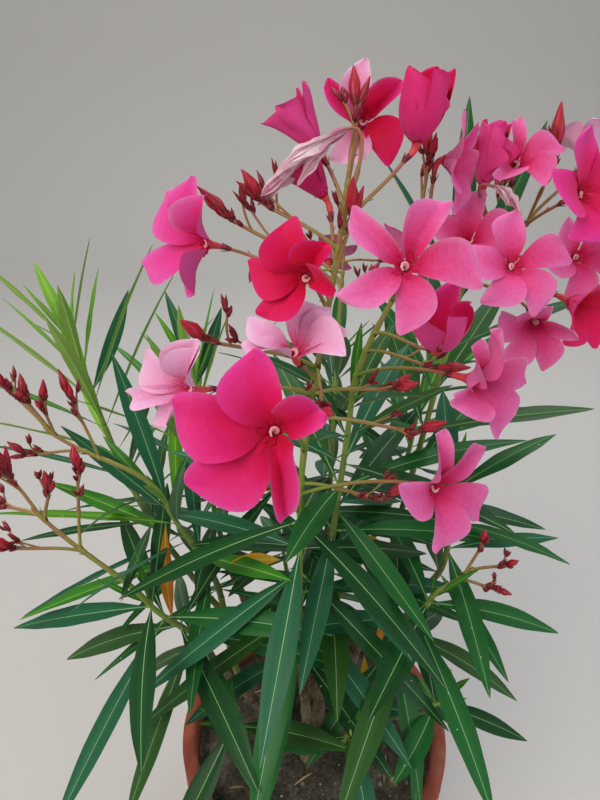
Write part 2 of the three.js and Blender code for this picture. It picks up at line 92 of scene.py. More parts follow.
def spotsOn(line, shares):  # points on a Bezier line, from its control points
    s = np.atleast_1d(np.asarray(shares, float))[:, None]
    row = [np.repeat(p[None, :], len(s), 0) for p in line]
    while len(row) > 1:
        row = [a * (1 - s) + b * s for a, b in zip(row, row[1:])]
    return row[0]


def waysOn(line, shares):  # unit directions along the line
    ways = spotsOn([b - a for a, b in zip(line, line[1:])], shares)
    return ways / np.linalg.norm(ways, axis=1)[:, None]


def spotOn(line, share):
    return spotsOn(line, share)[0]


def wayOn(line, share):
    return waysOn(line, share)[0]


def limbLine(start, leave, end):
    chord = end - start
    third = np.linalg.norm(chord) * 0.36
    arrive = unit(unit(chord) + up * 0.35)
    return [start, start + leave * third, end - arrive * third, end]


def branchLine(start, end, arrive):
    reach = np.linalg.norm(end - start)
    leave = unit(unit(end - start) + up * 0.3)
    return [start, start + leave * reach * 0.35, end - arrive * reach * 0.35, end]


def smooth(low, high, x):
    t = np.clip((x - low) / (high - low), 0, 1)
    return t * t * (3 - 2 * t)


def profile(rows, x):  # a smooth line through rows of (x, value)
    at = np.array([r[0] for r in rows], float)
    value = np.array([r[1] for r in rows], float)
    slope = np.gradient(value, at)
    x = np.clip(np.asarray(x, float), at[0], at[-1])
    i = np.clip(np.searchsorted(at, x) - 1, 0, len(at) - 2)
    width = at[i + 1] - at[i]
    t = (x - at[i]) / width
    a = value[i] * (1 + 2 * t) * (1 - t) ** 2 + value[i + 1] * t * t * (3 - 2 * t)
    return a + width * t * (1 - t) * (slope[i] * (1 - t) - slope[i + 1] * t)


# Helpers: meshes

def newPart():
    return {"spots": [], "faces": [], "slots": [], "count": 0}


def addFaces(part, spots, faces, slots):
    part["faces"] += [tuple(i + part["count"] for i in face) for face in faces]
    part["slots"] += list(slots)
    part["spots"].append(np.asarray(spots, float).reshape(-1, 3))
    part["count"] += len(part["spots"][-1])


# Skins a row of closed rings, (rings, points, 3), and closes both ends with a fan to a point.
# With a count of upper columns, each four-sided cell is cut along the diagonal that its twin on
# the other face of a thin blade has, so that the two faces can't cross.
def addLoft(part, rings, slots, startTip=None, endTip=None, upper=None):
    n, m = rings.shape[:2]
    slots = np.broadcast_to(np.asarray(slots), (n - 1, m))
    faces = []
    kinds = []
    for i in range(n - 1):
        for j in range(m):
            k = (j + 1) % m
            a, b, c, d = i * m + j, i * m + k, (i + 1) * m + k, (i + 1) * m + j
            if upper is None:
                faces.append((a, b, c, d))
            else:
                faces += [(a, b, c), (a, c, d)] if j < upper else [(a, b, d), (b, c, d)]
            kinds += [int(slots[i, j])] * (1 if upper is None else 2)
    spots = [rings.reshape(-1, 3)]
    count = n * m
    for tip, row, kind in ((startTip, 0, 0), (endTip, n - 1, n - 2)):
        spots.append(np.asarray(rings[row].mean(0) if tip is None else tip)[None, :])
        for j in range(m):
            faces.append((row * m + j, row * m + (j + 1) % m, count))
            kinds.append(int(slots[kind, j]))
        count += 1
    addFaces(part, np.vstack(spots), faces, kinds)


def ringTurns(count):
    return np.arange(count) * 2 * math.pi / count


# Rings of points beside a row of points: x is along one side vector, z along the other.
def ringsOf(spots, wide, thin, x, z):
    wide, thin = np.reshape(wide, (-1, 1, 3)), np.reshape(thin, (-1, 1, 3))
    return spots[:, None, :] + wide * x[:, :, None] + thin * z[:, :, None]


def roundRings(spots, side, deep, radii, turns):
    return ringsOf(spots, side, deep, radii * np.cos(turns), radii * np.sin(turns))


# Frames carried along a row of points with as little turn as can be.
def framesAlong(spots, side):
    ways = np.gradient(spots, axis=0)
    ways /= np.linalg.norm(ways, axis=1)[:, None]
    sides = []
    for way in ways:
        side = unit(side - way * np.dot(side, way))
        sides.append(side)
    return np.array(sides), np.cross(ways, sides)


def addTube(part, spots, radii, slots, sides=8, startTip=None, endTip=None, relief=None):
    spots = np.asarray(spots, float)
    across, deep = framesAlong(spots, acrossOf(unit(spots[-1] - spots[0])))
    turns = ringTurns(sides)
    radii = np.broadcast_to(np.asarray(radii, float), (len(spots),))[:, None]
    if relief is not None:
        radii = radii * relief(np.linspace(0, 1, len(spots))[:, None], turns[None, :])
    rings = roundRings(spots, across, deep, radii, turns)
    slots = np.asarray(slots)
    addLoft(part, rings, slots[:, None] if slots.ndim == 1 else slots, startTip, endTip)


def meshPiece(name, part, materials, replaced=(), sharp=60):
    mesh = bpy.data.meshes.new(name)
    spots = np.vstack(part["spots"]) * mm
    mesh.from_pydata(spots.tolist(), [], part["faces"])
    for material in materials:
        mesh.materials.append(material)
    mesh.polygons.foreach_set("material_index", np.array(part["slots"], np.int32))
    work = bmesh.new()
    work.from_mesh(mesh)
    bmesh.ops.recalc_face_normals(work, faces=work.faces)
    work.to_mesh(mesh)
    work.free()
    mesh.shade_smooth()
    mesh.set_sharp_from_angle(angle=math.radians(sharp))
    piece = bpy.data.objects.new(name, mesh)
    bpy.context.scene.collection.objects.link(piece)
    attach(piece, "root")
    if replaced:
        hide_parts(*replaced)
    return piece


# Helpers: materials

def linear(hexText):
    values = [int(hexText[i:i + 2], 16) / 255 for i in (1, 3, 5)]
    return [v / 12.92 if v <= 0.04045 else ((v + 0.055) / 1.055) ** 2.4 for v in values] + [1.0]


def addNode(tree, kind, settings=None, links=None):
    node = tree.nodes.new(kind)
    for key, value in (settings or {}).items():
        if isinstance(key, str) and hasattr(node, key):
            setattr(node, key, value)
        else:
            node.inputs[key].default_value = value
    for key, source in (links or {}).items():
        tree.links.new(source, node.inputs[key])
    return node


def newFinish(name, settings):
    material = bpy.data.materials.new(name)
    material.use_nodes = True
    tree = material.node_tree
    shader = tree.nodes["Principled BSDF"]
    for key, value in settings.items():
        shader.inputs[key].default_value = value
    return material, tree, shader


def plainFinish(name, colour, settings):
    return newFinish(name, {"Base Color": linear(colour), **settings})[0]


def between(colours, share):  # a hex colour along a row of others
    first = min(int(share * (len(colours) - 1)), len(colours) - 2)
    share = share * (len(colours) - 1) - first
    a, b = ([int(h[i:i + 2], 16) for i in (1, 3, 5)] for h in colours[first:first + 2])
    return "#" + "".join(f"{round(mix(x, y, share)):02x}" for x, y in zip(a, b))


# A colour ramp along a value, from rows of (place, hex).
def addRamp(tree, source, rows):
    ramp = addNode(tree, "ShaderNodeValToRGB", links={"Fac": source})
    spare = ramp.color_ramp.elements
    while len(spare) < len(rows):
        spare.new(0.5)
    for element, (place, colour) in zip(spare, rows):
        element.position = place
        element.color = linear(colour)
    return ramp.outputs["Color"]


def addNoise(tree, place, size, detail, rough=0.5):  # size in mm
    return addNode(tree, "ShaderNodeTexNoise", {
        "Scale": 1 / (size * mm), "Detail": detail, "Roughness": rough}, {"Vector": place}).outputs[0]


def addCells(tree, place, size):
    return addNode(tree, "ShaderNodeTexVoronoi", {"Scale": 1 / (size * mm)}, {"Vector": place}).outputs


def addRange(tree, source, low, high, start, end):
    return addNode(tree, "ShaderNodeMapRange", {1: low, 2: high, 3: start, 4: end}, {
        "Value": source}).outputs[0]


def addSum(tree, first, factor, second):  # first times factor, plus second
    return addNode(tree, "ShaderNodeMath", {"operation": "MULTIPLY_ADD", 1: factor}, {
        0: first, 2: second}).outputs[0]


def addTint(tree, share, base, colour):  # lays a colour over the base
    return addNode(tree, "ShaderNodeMix", {"data_type": "RGBA", 7: linear(colour)}, {
        0: share, 6: base}).outputs[2]


def addShade(tree, share, base, shade):  # darkens the base by a grey pattern
    return addNode(tree, "ShaderNodeMix", {
        "data_type": "RGBA", "blend_type": "MULTIPLY", 0: share}, {6: base, 7: shade}).outputs[2]


def closeFinish(tree, shader, colour, relief, strength, depth):  # depth in mm
    bump = addNode(tree, "ShaderNodeBump", {"Strength": strength, "Distance": depth * mm}, {
        "Height": relief})
    tree.links.new(colour, shader.inputs["Base Color"])
    tree.links.new(bump.outputs["Normal"], shader.inputs["Normal"])


# The pot: fired clay, turned on its axis, with a deep rolled rim

pot = {
    "height": 245, "rimRadius": 140, "rimDepth": 38, "rimWall": 15, "wall": 9,
    "footRadius": 98, "floor": 12, "drainRadius": 7, "drainRing": 46, "drains": 3,
    "clay": "#a04a34", "clayDeep": "#7c3524", "clayPale": "#bb6a50", "bloom": "#b79a86",
    "damp": "#5a2a1e", "grit": 0.9, "blotch": 42, "cloud": 60, "turning": 3.2,
    "rimStep": 11, "lipOuter": 7, "lipInner": 6, "wear": 0.28, "lipWear": 0.55,
    "outOfRound": 0.0022, "wallRings": 14, "sides": 112,
}


# Fired terracotta: a porous, matt body with fine grit, faint turning lines, paler salt bloom
# where water has dried through the wall, and darker damp stains near the foot.
def terracottaFinish():
    material, tree, shader = newFinish("terracotta_fired_clay", {"Roughness": 0.82, "IOR": 1.5})
    place = addNode(tree, "ShaderNodeTexCoord").outputs["Object"]
    body = addRamp(tree, addNoise(tree, place, pot["blotch"], 5, 0.6), [
        (0.22, pot["clayDeep"]), (0.5, pot["clay"]), (0.82, pot["clayPale"])])
    grit = addNoise(tree, place, pot["grit"], 2)
    speck = addRamp(tree, grit, [(0.4, "#8f8f8f"), (0.62, "#ffffff")])
    cloud = addNoise(tree, place, pot["cloud"], 6, 0.68)
    dried = addRange(tree, cloud, 0.5, 0.78, 0, 0.4)
    bloomed = addTint(tree, dried, addShade(tree, 0.35, body, speck), pot["bloom"])
    height = addNode(tree, "ShaderNodeSeparateXYZ", links={0: place}).outputs["Z"]
    low = addRange(tree, addSum(tree, cloud, 0.09, height), 0.055, 0.11, 0.5, 0)
    lines = addNode(tree, "ShaderNodeTexWave", {
        "bands_direction": "Z", "Scale": 0.314 / (pot["turning"] * mm), "Distortion": 1.2,
        "Detail": 2}, {"Vector": place})
    relief = addSum(tree, lines.outputs["Fac"], 0.35, grit)
    closeFinish(tree, shader, addTint(tree, low, bloomed, pot["damp"]), relief, 0.5, 0.6)
    return material


def buildPot():
    top, rim, foot, floor = (pot[key] for key in ("height", "rimRadius", "footRadius", "floor"))
    shoulder = top - pot["rimDepth"]
    inside = rim - pot["rimWall"]
    neck = rim - pot["rimStep"]
    outer = [(foot * 0.55, 0), (foot - 4, 0), (foot - 1.2, 1.1), (foot, 4)]
    for i in range(1, pot["wallRings"]):
        share = i / pot["wallRings"]
        outer.append((mix(foot, neck, share), mix(4, shoulder - 4, share)))
    outer += [(neck, shoulder - 4), (rim - 8, shoulder - 2.6), (rim - 3, shoulder - 0.8),
              (rim - 0.9, shoulder + 1), (rim, shoulder + 4.5), (rim - 0.4, shoulder + 13),
              (rim - 0.2, top - 16)]
    big, small = pot["lipOuter"], pot["lipInner"]
    lip = [(rim - big + big * math.cos(a), top - big + big * math.sin(a))
           for a in np.linspace(0, math.pi / 2, 7)]
    lip += [(inside + small - small * math.sin(a), top - small + small * math.cos(a))
            for a in np.linspace(0.2, math.pi / 2, 6)]
    inner = [(mix(inside, foot - pot["wall"], i / 10), mix(shoulder, floor, i / 10))
             for i in range(11)]
    inner += [(foot * 0.5, floor)]
    turns = ringTurns(pot["sides"])
    rings = []
    for radius, height in outer + lip + inner:
        sway = 1 + pot["outOfRound"] * np.sin(2 * turns + 0.6) * (height / top)
        dents = np.array([noise.noise(Vector((math.cos(t) * 3, math.sin(t) * 3, height / 26)))
                          for t in turns])
        worn = pot["lipWear"] if height > top - 9 else pot["wear"]
        r = (radius - abs(dents) * worn) * np.minimum(sway, 1) if radius > 60 else radius + 0 * turns
        z = height - (0.5 * abs(dents[::-1]) if height > top - 3 else 0 * turns)
        rings.append(np.stack([r * np.cos(turns), r * np.sin(turns), z + 0 * turns], 1))
    part = newPart()
    addLoft(part, np.array(rings), 0, up * 0, up * floor)
    piece = meshPiece("clay_pot", part, [terracottaFinish()], ["pot"], 40)
    drill = newPart()
    for hole in range(pot["drains"]):
        spot = compass(90 + hole * 360 / pot["drains"]) * pot["drainRing"]
        addTube(drill, [spot + up * z for z in (-20, 0, 30)], pot["drainRadius"], 0, 20)
    mesh = bpy.data.meshes.new("drain_drill")
    mesh.from_pydata((np.vstack(drill["spots"]) * mm).tolist(), [], drill["faces"])
    tool = bpy.data.objects.new("drain_drill", mesh)
    bpy.context.scene.collection.objects.link(tool)
    cut = piece.modifiers.new("drains", "BOOLEAN")
    cut.object = tool
    cut.solver = "EXACT"
    shown = piece.evaluated_get(bpy.context.evaluated_depsgraph_get())
    piece.data = bpy.data.meshes.new_from_object(shown)
    piece.modifiers.clear()
    bpy.data.objects.remove(tool)
    bpy.data.meshes.remove(mesh)


# The soil: damp, gritty compost with crumbs, pebbles and shed leaf bits

soil = {
    "level": 224, "dip": 5, "gap": 0.3, "crumb": 5, "seed": 51,
    "dark": "#302c25", "mid": "#514a3d", "pale": "#7c7263", "moss": "#41472c",
    "pebbles": 300, "shreds": 26, "wet": 35, "mossPatch": 50, "crumbCell": 2.8,
    "turns": 180, "rings": 62, "heap": 2.4,
}


# Damp potting compost: matt crumbs of several sizes, dark where it is wet, pale grit on top.
def compostFinish():
    material, tree, shader = newFinish("compost_damp_gritty", {"Roughness": 0.95})
    place = addNode(tree, "ShaderNodeTexCoord").outputs["Object"]
    body = addRamp(tree, addNoise(tree, place, soil["wet"], 6, 0.7), [
        (0.32, soil["dark"]), (0.5, soil["mid"]), (0.66, soil["pale"])])
    mossy = addRange(tree, addNoise(tree, place, soil["mossPatch"], 3), 0.55, 0.7, 0, 0.5)
    crumb = addCells(tree, place, soil["crumbCell"])
    grain = addRamp(tree, crumb["Color"], [(0.2, "#6d6d6d"), (0.8, "#ffffff")])
    colour = addShade(tree, 0.6, addTint(tree, mossy, body, soil["moss"]), grain)
    closeFinish(tree, shader, colour, crumb["Distance"], 0.9, 1.2)
    return material


def soilHeight(x, y):  # mm, lower at the wall, heaped a little round each cane
    radius = math.hypot(x, y)
    wall = pot["rimRadius"] - pot["rimWall"]
    fall = soil["dip"] * smooth(wall - 30, wall, radius)
    lumps = noise.fractal(Vector((x / 26, y / 26, 3.1)), 0.8, 2.0, 5) * 1.5
    crumbs = noise.noise(Vector((x / soil["crumb"], y / soil["crumb"], 7.7))) * 1.3
    heap = sum(soil["heap"] * math.exp(-((x - c["foot"][0]) ** 2 + (y - c["foot"][1]) ** 2) / 260)
               for c in canes.values())
    return soil["level"] - 1.6 - fall + min(lumps + crumbs, 1.6) + heap * 0.6


def buildSoil():
    wall = pot["rimRadius"] - pot["rimWall"] - soil["gap"] * 1.5
    turns = ringTurns(soil["turns"])
    floor = pot["floor"] + soil["gap"]
    shoulder = pot["height"] - pot["rimDepth"]
    rings = []
    for radius, height in ((pot["footRadius"] - pot["wall"] - 1, floor), (wall - 0.2, shoulder)):
        rings.append([(radius * math.cos(t), radius * math.sin(t), height) for t in turns])
    for radius in np.linspace(wall - 0.2, 2, soil["rings"]):
        ring = [(radius * math.cos(t), radius * math.sin(t)) for t in turns]
        rings.append([(x, y, soilHeight(x, y)) for x, y in ring])
    part = newPart()
    addLoft(part, np.array(rings), 0, up * floor, up * soilHeight(0, 0))
    meshPiece("potting_soil", part, [compostFinish()], ["soil"], 80)


# Pebbles, grit and dry leaf shreds lying on the compost, each kind in plain colours.
def buildLitter():
    roll = dice(soil["seed"])
    part = newPart()
    wall = pot["rimRadius"] - pot["rimWall"] - 7
    for i in range(soil["pebbles"]):
        reach = wall * math.sqrt(roll(0.01, 1))
        spot = compass(roll(0, 360)) * reach
        size = roll(0.8, 2.0) if i % 9 else roll(2.2, 4.0)
        spot = spot + up * (soilHeight(spot[0], spot[1]) + size * 0.25)
        lean = compass(roll(0, 360), roll(-20, 20))
        spots = [spot + lean * size * q for q in (-0.75, -0.35, 0.3, 0.75)]
        radii = np.array([0.45, 0.85, 0.8, 0.4]) * size
        kind = int(roll(0, 3.99))
        addTube(part, spots, radii, kind, 6, spots[0] - lean * size * 0.2,
                spots[-1] + lean * size * 0.2)
    for i in range(soil["shreds"]):
        reach = wall * math.sqrt(roll(0.05, 0.9))
        spot = compass(roll(0, 360)) * reach
        length = roll(8, 30)
        way = compass(roll(0, 360), roll(-3, 8))
        start = spot + up * (soilHeight(spot[0], spot[1]) + 1.1)
        end = start + way * length
        if math.hypot(end[0], end[1]) > wall:
            continue
        end[2] = max(end[2], soilHeight(end[0], end[1]) + 1)
        line = [start, (start + end) / 2 + up * roll(0, 4), end]
        addBlade(part, line, compass(roll(0, 360)), roll(1.5, 5), 4 + int(roll(0, 2.99)), roll)
    finishes = [plainFinish(name, colour, {"Roughness": 0.9}) for name, colour in (
        ("grit_grey", "#7d766c"), ("grit_pale", "#b5aa9a"), ("grit_brown", "#5c4a3a"),
        ("grit_dark", "#38332d"), ("leaf_shred_tan", "#8c7a55"), ("leaf_shred_brown", "#5c4a32"),
        ("leaf_shred_straw", "#b0a06c"))]
    meshPiece("soil_litter", part, finishes)


# A small dry blade: a curled lens of leaf.
def addBlade(part, line, across, width, kind, roll, steps=7):
    shares = np.linspace(0.03, 0.97, steps)
    spots = spotsOn(line, shares)
    sides, deep = framesAlong(spots, across)
    half = (width / 2 * np.sin(shares * math.pi) ** 0.7)[:, None]
    curl = roll(0.1, 0.6)
    x = np.array([-1, -0.5, 0, 0.5, 1, 0.5, 0, -0.5])
    z = np.array([0, -0.16, -0.2, -0.16, 0, 0.1, 0.12, 0.1])
    rings = ringsOf(spots, sides, deep, half * x, z + half * curl * x * x)
    addLoft(part, rings, kind, line[0], line[-1])


# Canes and boughs: the same lines as the solids, with the bark's relief

canes = {
    "front": {"foot": (-6, -26), "tip": (-14, -40, 398)},
    "middle": {"foot": (5, 4), "tip": (10, -2, 452)},
    "left": {"foot": (-38, -14), "tip": (-98, -38, 412)},
    "right": {"foot": (36, -14), "tip": (60, -32, 384)},
    "back_right": {"foot": (30, 22), "tip": (74, 50, 440)},
    "back_left": {"foot": (-32, 28), "tip": (-92, 66, 430)},
    "back": {"foot": (2, 46), "tip": (14, 100, 424)},
}

boughs = {
    "left_inner": {"cane": "left", "at": 0.5, "tip": (-88, 2, 432)},
    "far_left": {"cane": "back_left", "at": 0.52, "tip": (-136, 44, 442)},
    "right_outer": {"cane": "back_right", "at": 0.5, "tip": (110, 12, 446)},
    "back_outer": {"cane": "back", "at": 0.5, "tip": (82, 124, 436)},
    "low_front": {"cane": "front", "at": 0.34, "tip": (18, -66, 322)},
    "low_left": {"cane": "left", "at": 0.3, "tip": (-62, -58, 326)},
    "low_right": {"cane": "right", "at": 0.4, "tip": (88, -50, 334)},
    "low_back": {"cane": "back", "at": 0.3, "tip": (-24, 96, 334)},
}

bark = {
    "caneRadius": 6.2, "caneFlare": 3.6, "boughRadius": 3.6, "shootRadius": 2.9,
    "shootTip": 2.1, "scarStep": 17, "brown": "#6b5a3e", "grey": "#8b8168", "dark": "#3f3323",
    "lenticel": "#a89a78", "green": "#6d7a35", "greenPale": "#8f9a4e", "lenticelSize": 3.5,
    "ringStep": 2.2, "sides": 20,
}

limbLines = {}


def caneRadiusAt(share):
    return mix(bark["caneRadius"], bark["boughRadius"], share) + bark["caneFlare"] * np.exp(-share * 9)


def boughRadiusAt(share):
    return mix(bark["boughRadius"], bark["shootRadius"], share)


# Oleander bark: thin and matt, grey-brown with fine cracks along the cane and pale raised
# lenticels; on the younger boughs it is still green with the same lenticels.
def barkFinish(name, low, high, deep):
    material, tree, shader = newFinish(name, {"Roughness": 0.75})
    place = addNode(tree, "ShaderNodeTexCoord").outputs["Object"]
    long = addNode(tree, "ShaderNodeMapping", {"Scale": (1.0, 1.0, 0.16)}, {"Vector": place})
    fibre = addNoise(tree, long.outputs[0], 2.2, 4, 0.65)
    both = addSum(tree, fibre, 0.6, addNoise(tree, place, 30, 4))
    body = addRamp(tree, both, [(0.62, deep), (0.78, low), (0.95, high)])
    dots = addCells(tree, place, bark["lenticelSize"])["Distance"]
    spot = addRange(tree, dots, 0.16, 0.26, 1, 0)
    colour = addTint(tree, spot, body, bark["lenticel"])
    closeFinish(tree, shader, colour, addSum(tree, spot, 1, fibre), 0.7, 0.5)
    return material


# A limb with rings of old leaf scars, shallow flutes and small knots.
def buildLimb(name, line, radiusAt, length, finish, node, seed):
    roll = dice(seed)
    steps = int(length / bark["ringStep"])
    shares = np.linspace(0, 1, steps)
    phase = roll(0, 6)

    def relief(share, turn):
        whorl, ring = np.divmod(share * length / bark["scarStep"] + 0.3, 1)
        scar = np.exp(-((ring - 0.5) / 0.09) ** 2)
        three = 0.5 + 0.5 * np.cos(3 * (turn + whorl * math.pi / 3))
        flutes = 0.03 * np.sin(5 * turn + phase + share * 3) + 0.02 * np.sin(3 * turn - share * 9)
        rough = 0.025 * np.sin(11 * turn + share * length * 0.45) * np.sin(share * length * 0.31)
        return 1 + scar * (0.05 + 0.13 * three) + flutes + rough - 0.03
    part = newPart()
    radii = [radiusAt(s) for s in shares]
    addTube(part, spotsOn(line, shares), radii, 0, bark["sides"], relief=relief)
    meshPiece(name, part, [finish], [node], 70)


def lengthOf(line):
    spots = spotsOn(line, np.linspace(0, 1, 40))
    return float(np.linalg.norm(np.diff(spots, axis=0), axis=1).sum())


def buildLimbs():
    brown = barkFinish("bark_grey_brown", bark["brown"], bark["grey"], bark["dark"])
    green = barkFinish("bark_young_green", bark["green"], bark["greenPale"], bark["brown"])
    for i, (name, cane) in enumerate(canes.items()):
        foot = np.array([*cane["foot"], soil["level"] + soil["gap"]], float)
        line = limbLine(foot, up, np.array(cane["tip"], float))
        limbLines[name] = line
        buildLimb("bark_" + name, line, caneRadiusAt, lengthOf(line), brown,
                  "cane_" + name, 400 + i)
    for i, (name, bough) in enumerate(boughs.items()):
        parent = limbLines[bough["cane"]]
        start = spotOn(parent, bough["at"])
        end = np.array(bough["tip"], float)
        leave = unit(unit((end - start) * (1, 1, 0)) + up * 0.5)
        line = limbLine(start, leave, end)
        limbLines[name] = line
        buildLimb("side_bough_" + name, line, boughRadiusAt, lengthOf(line), green,
                  "bough_" + name, 420 + i)


# Shoots: where each ends, its whorls of leaves with their turn and how wide they open from the
# first to the last, how far the leaves sag, their size, and that of the top ones

shootKeys = ("tip", "whorls", "turn", "open", "sag", "size", "top")


def newShoot(*values, **leaves):  # with the leaves' breadth and tint where they differ
    return {**dict(zip(shootKeys, values)), **leaves}


shoots = {
    "front": newShoot((-15, -60, 583), 7, -42, (118, 108), 0.1, 1, 1),
    "middle": newShoot((22, -14, 650), 8, -60, (95, 46), 0.1, 0.94, 0.72),
    "left": newShoot((-135, -53, 484), 5, 172, (112, 82), 0.1, 1, 1),
    "right": newShoot((89, -51, 487), 5, -8, (118, 84), 0.12, 0.86, 1),
    "back_right": newShoot((110, 60, 706), 7, 45, (80, 42), 0.03, 0.84, 1.1),
    "back_left": newShoot((-118, 132, 590), 8, 150, (92, 24), 0.06, 1, 0.72, slim=0.66, tint="young"),
    "back": newShoot((22, 146, 612), 9, 90, (100, 40), 0.1, 1, 0.72),
    "left_inner": newShoot((-128, 6, 540), 6, 140, (100, 40), 0.06, 1, 0.72, slim=0.76, tint="fresh"),
    "far_left": newShoot((-216, 92, 652), 9, 120, (82, 24), 0.03, 1, 0.72, slim=0.62, tint="young"),
    "right_outer": newShoot((112, 14, 548), 4, 10, (100, 60), 0.1, 0.8, 1),
    "back_outer": newShoot((112, 150, 596), 6, 60, (92, 26), 0.08, 0.84, 0.72, tint="fresh"),
    "low_front": newShoot((26, -84, 356), 1, -70, (112, 100), 0.12, 0.56, 1),
    "low_left": newShoot((-74, -78, 362), 1, -120, (112, 96), 0.12, 0.8, 1),
    "low_right": newShoot((104, -64, 372), 2, -20, (112, 90), 0.12, 0.66, 1),
    "low_back": newShoot((-34, 116, 378), 3, 110, (108, 80), 0.12, 0.9, 1),
}

leaf = {
    "length": 152, "width": 21, "thickness": 1.9, "room": 0.5, "bladeFrom": 0.16,
    "nudges": (0, 12, -12, 24, -24, 36, -36), "leaves": 3, "rings": 19, "skin": 0.45,
    "groove": 0.22, "keel": 0.7, "flecks": 120,
}

# Leaf tones: the blade, and the paler zone beside its midrib.
leafTones = {
    "deep": ("#15441b", "#184c1e"),
    "green": ("#1e5e27", "#22662b"),
    "blue": ("#215d3c", "#256541"),
    "olive": ("#2c561e", "#315e21"),
    "fresh": ("#387a1e", "#408623"),
    "young": ("#559414", "#609f1b"),
    "lime": ("#76a92a", "#82b433"),
    "yellow": ("#d6a21c", "#dbac2c"),
    "orange": ("#c87818", "#ce8222"),
}
leafExtras = {
    "under": "#64855c", "underYoung": "#8db450", "rib": "#8fb47c", "ribYoung": "#b9d67a",
    "stalk": "#7f9a48", "dry": "#8a6a3a", "fleck": "#c8d2c6",
}
leafSlots = {}


# Living leaf: a leathery blade with a thin wax on it, so a soft bluish gloss lies over deep
# green; the underside is paler and duller, and the midrib is a pale raised cord.
def leafFinishes():
    finishes = []
    for name, (blade, inner) in leafTones.items():
        for part, colour in (("blade", blade), ("inner", inner)):
            leafSlots[name, part] = len(finishes)
            finishes.append(plainFinish(f"leaf_wax_{name}_{part}", colour, {
                "Roughness": 0.46, "Specular IOR Level": 0.24}))
    for name, colour in leafExtras.items():
        leafSlots[name] = len(finishes)
        finishes.append(plainFinish("leaf_" + name, colour, {"Roughness": 0.6}))
    return finishes


# The solids' leaf, a three-sided cone of two steps, kept as a test body for room.
def leafBody(line, across, width, room=0.0, start=0.0):
    if start > 0:
        line = [spotOn(line, start), spotOn(line, 0.5 + start / 2), line[2]]
    first = mix(0.06, 1, start * 2)
    spots = []
    for share, half in ((0.0, first), (0.5, 1.0)):
        way = wayOn(line, share)
        side = unit(across - way * np.dot(across, way))
        deep = np.cross(side, way)
        wide = half * width / 1.73 + room
        thick = leaf["thickness"] * (1 - share * 0.4) / 1.5 + room
        for x, z in ((0, 1), (0.866, -0.5), (-0.866, -0.5)):
            spots.append(spotOn(line, share) + side * x * wide + deep * z * thick)
    spots.append(line[2])
    faces = [(0, 2, 1), (0, 1, 4, 3), (1, 2, 5, 4), (2, 0, 3, 5), (3, 4, 6), (4, 5, 6), (5, 3, 6)]
    return bodyOf(np.array(spots), faces)


def bodyOf(spots, faces):
    return {"low": spots.min(0), "high": spots.max(0),
            "tree": BVHTree.FromPolygons([Vector(p) for p in spots], faces)}


def stemBody(line, start, end, sides, steps):
    spots = spotsOn(line, np.linspace(0, 1, steps + 1))
    part = newPart()
    addTube(part, spots, np.linspace(start, end, steps + 1), 0, sides)
    return bodyOf(np.vstack(part["spots"]), part["faces"])


def meet(a, b):
    if b is None or (a["low"] > b["high"]).any() or (b["low"] > a["high"]).any():
        return False
    return bool(a["tree"].overlap(b["tree"]))


bodies = {}  # test bodies of each node, with the blade of a leaf kept apart


def addBody(node, body, blade=None):
    bodies.setdefault(node, []).append((body, blade))


def standsClear(node, wanted, blade):
    for other, rows in bodies.items():
        for body, otherBlade in rows:
            if meet(blade, otherBlade) if other == node else meet(wanted, body):
                return False
    return True


def growOn(parent, end):
    leave = wayOn(parent, 1)
    return limbLine(parent[-1] + leave * 0.3, leave, end)


def leafLine(root, outward, stem, length, sag):
    tip = root + outward * length - up * length * sag
    return [root, root + outward * length * 0.5 + stem * length * 0.04, tip]


def leafWay(along, turn, opened):
    level = compass(turn)
    radial = unit(level - along * np.dot(level, along))
    lean = math.radians(opened)
    return along * math.cos(lean) + radial * math.sin(lean)


# Places every leaf by the solids' rule and returns their lines.
def growLeaves(name, shoot, stem, seed):
    roll = dice(seed)
    node = "leaves_" + name
    found = []
    whorls = shoot["whorls"]
    step = 360 / leaf["leaves"]
    for whorl in range(whorls):
        share = whorl / (whorls - 1) if whorls > 1 else 1
        height = mix(0.07, 0.97, share)
        root = spotOn(stem, height)
        along = wayOn(stem, height)
        for i in range(leaf["leaves"]):
            turn = shoot["turn"] + (whorls - 1 - whorl) * step / 2 + i * step + roll(-9, 9)
            opened = mix(*shoot["open"], share) + roll(-8, 8)
            young = shoot["top"] if share > 0.85 else 1
            grown = young * mix(0.86, 1.04, math.sin(share * math.pi))
            length = leaf["length"] * shoot["size"] * grown * roll(0.9, 1.08)
            width = leaf["width"] * shoot.get("slim", 1) * young * roll(0.88, 1.1)
            for nudge in leaf["nudges"]:
                line = leafLine(root, leafWay(along, turn + nudge, opened), along, length,
                                shoot["sag"])
                across = unit(np.cross(along, line[2] - root))
                blade = leafBody(line, across, width, leaf["room"], leaf["bladeFrom"])
                if standsClear(node, leafBody(line, across, width, leaf["room"]), blade):
                    addBody(node, leafBody(line, across, width), blade)
                    found.append({"line": line, "across": across, "width": width,
                                  "share": share, "length": length})
                    break
    return found


# Half width along a leaf, as a share of its widest half.
leafOutline = [(0, 0.1), (0.04, 0.1), (0.09, 0.2), (0.18, 0.47), (0.3, 0.76), (0.42, 0.94),
               (0.52, 1.0), (0.64, 0.94), (0.76, 0.75), (0.87, 0.47), (0.95, 0.21), (1, 0.03)]

# Its columns of points, as shares of the half width, or of the midrib's half width where marked.
leafTop = [(-1, 0), (-0.68, 0), (-0.34, 0), (-1, 1), (1, 1), (0.34, 0), (0.68, 0), (1, 0)]
leafUnder = [(0.68, 0), (0.34, 0), (1.7, 1), (0, 0), (-1.7, 1), (-0.34, 0), (-0.68, 0)]


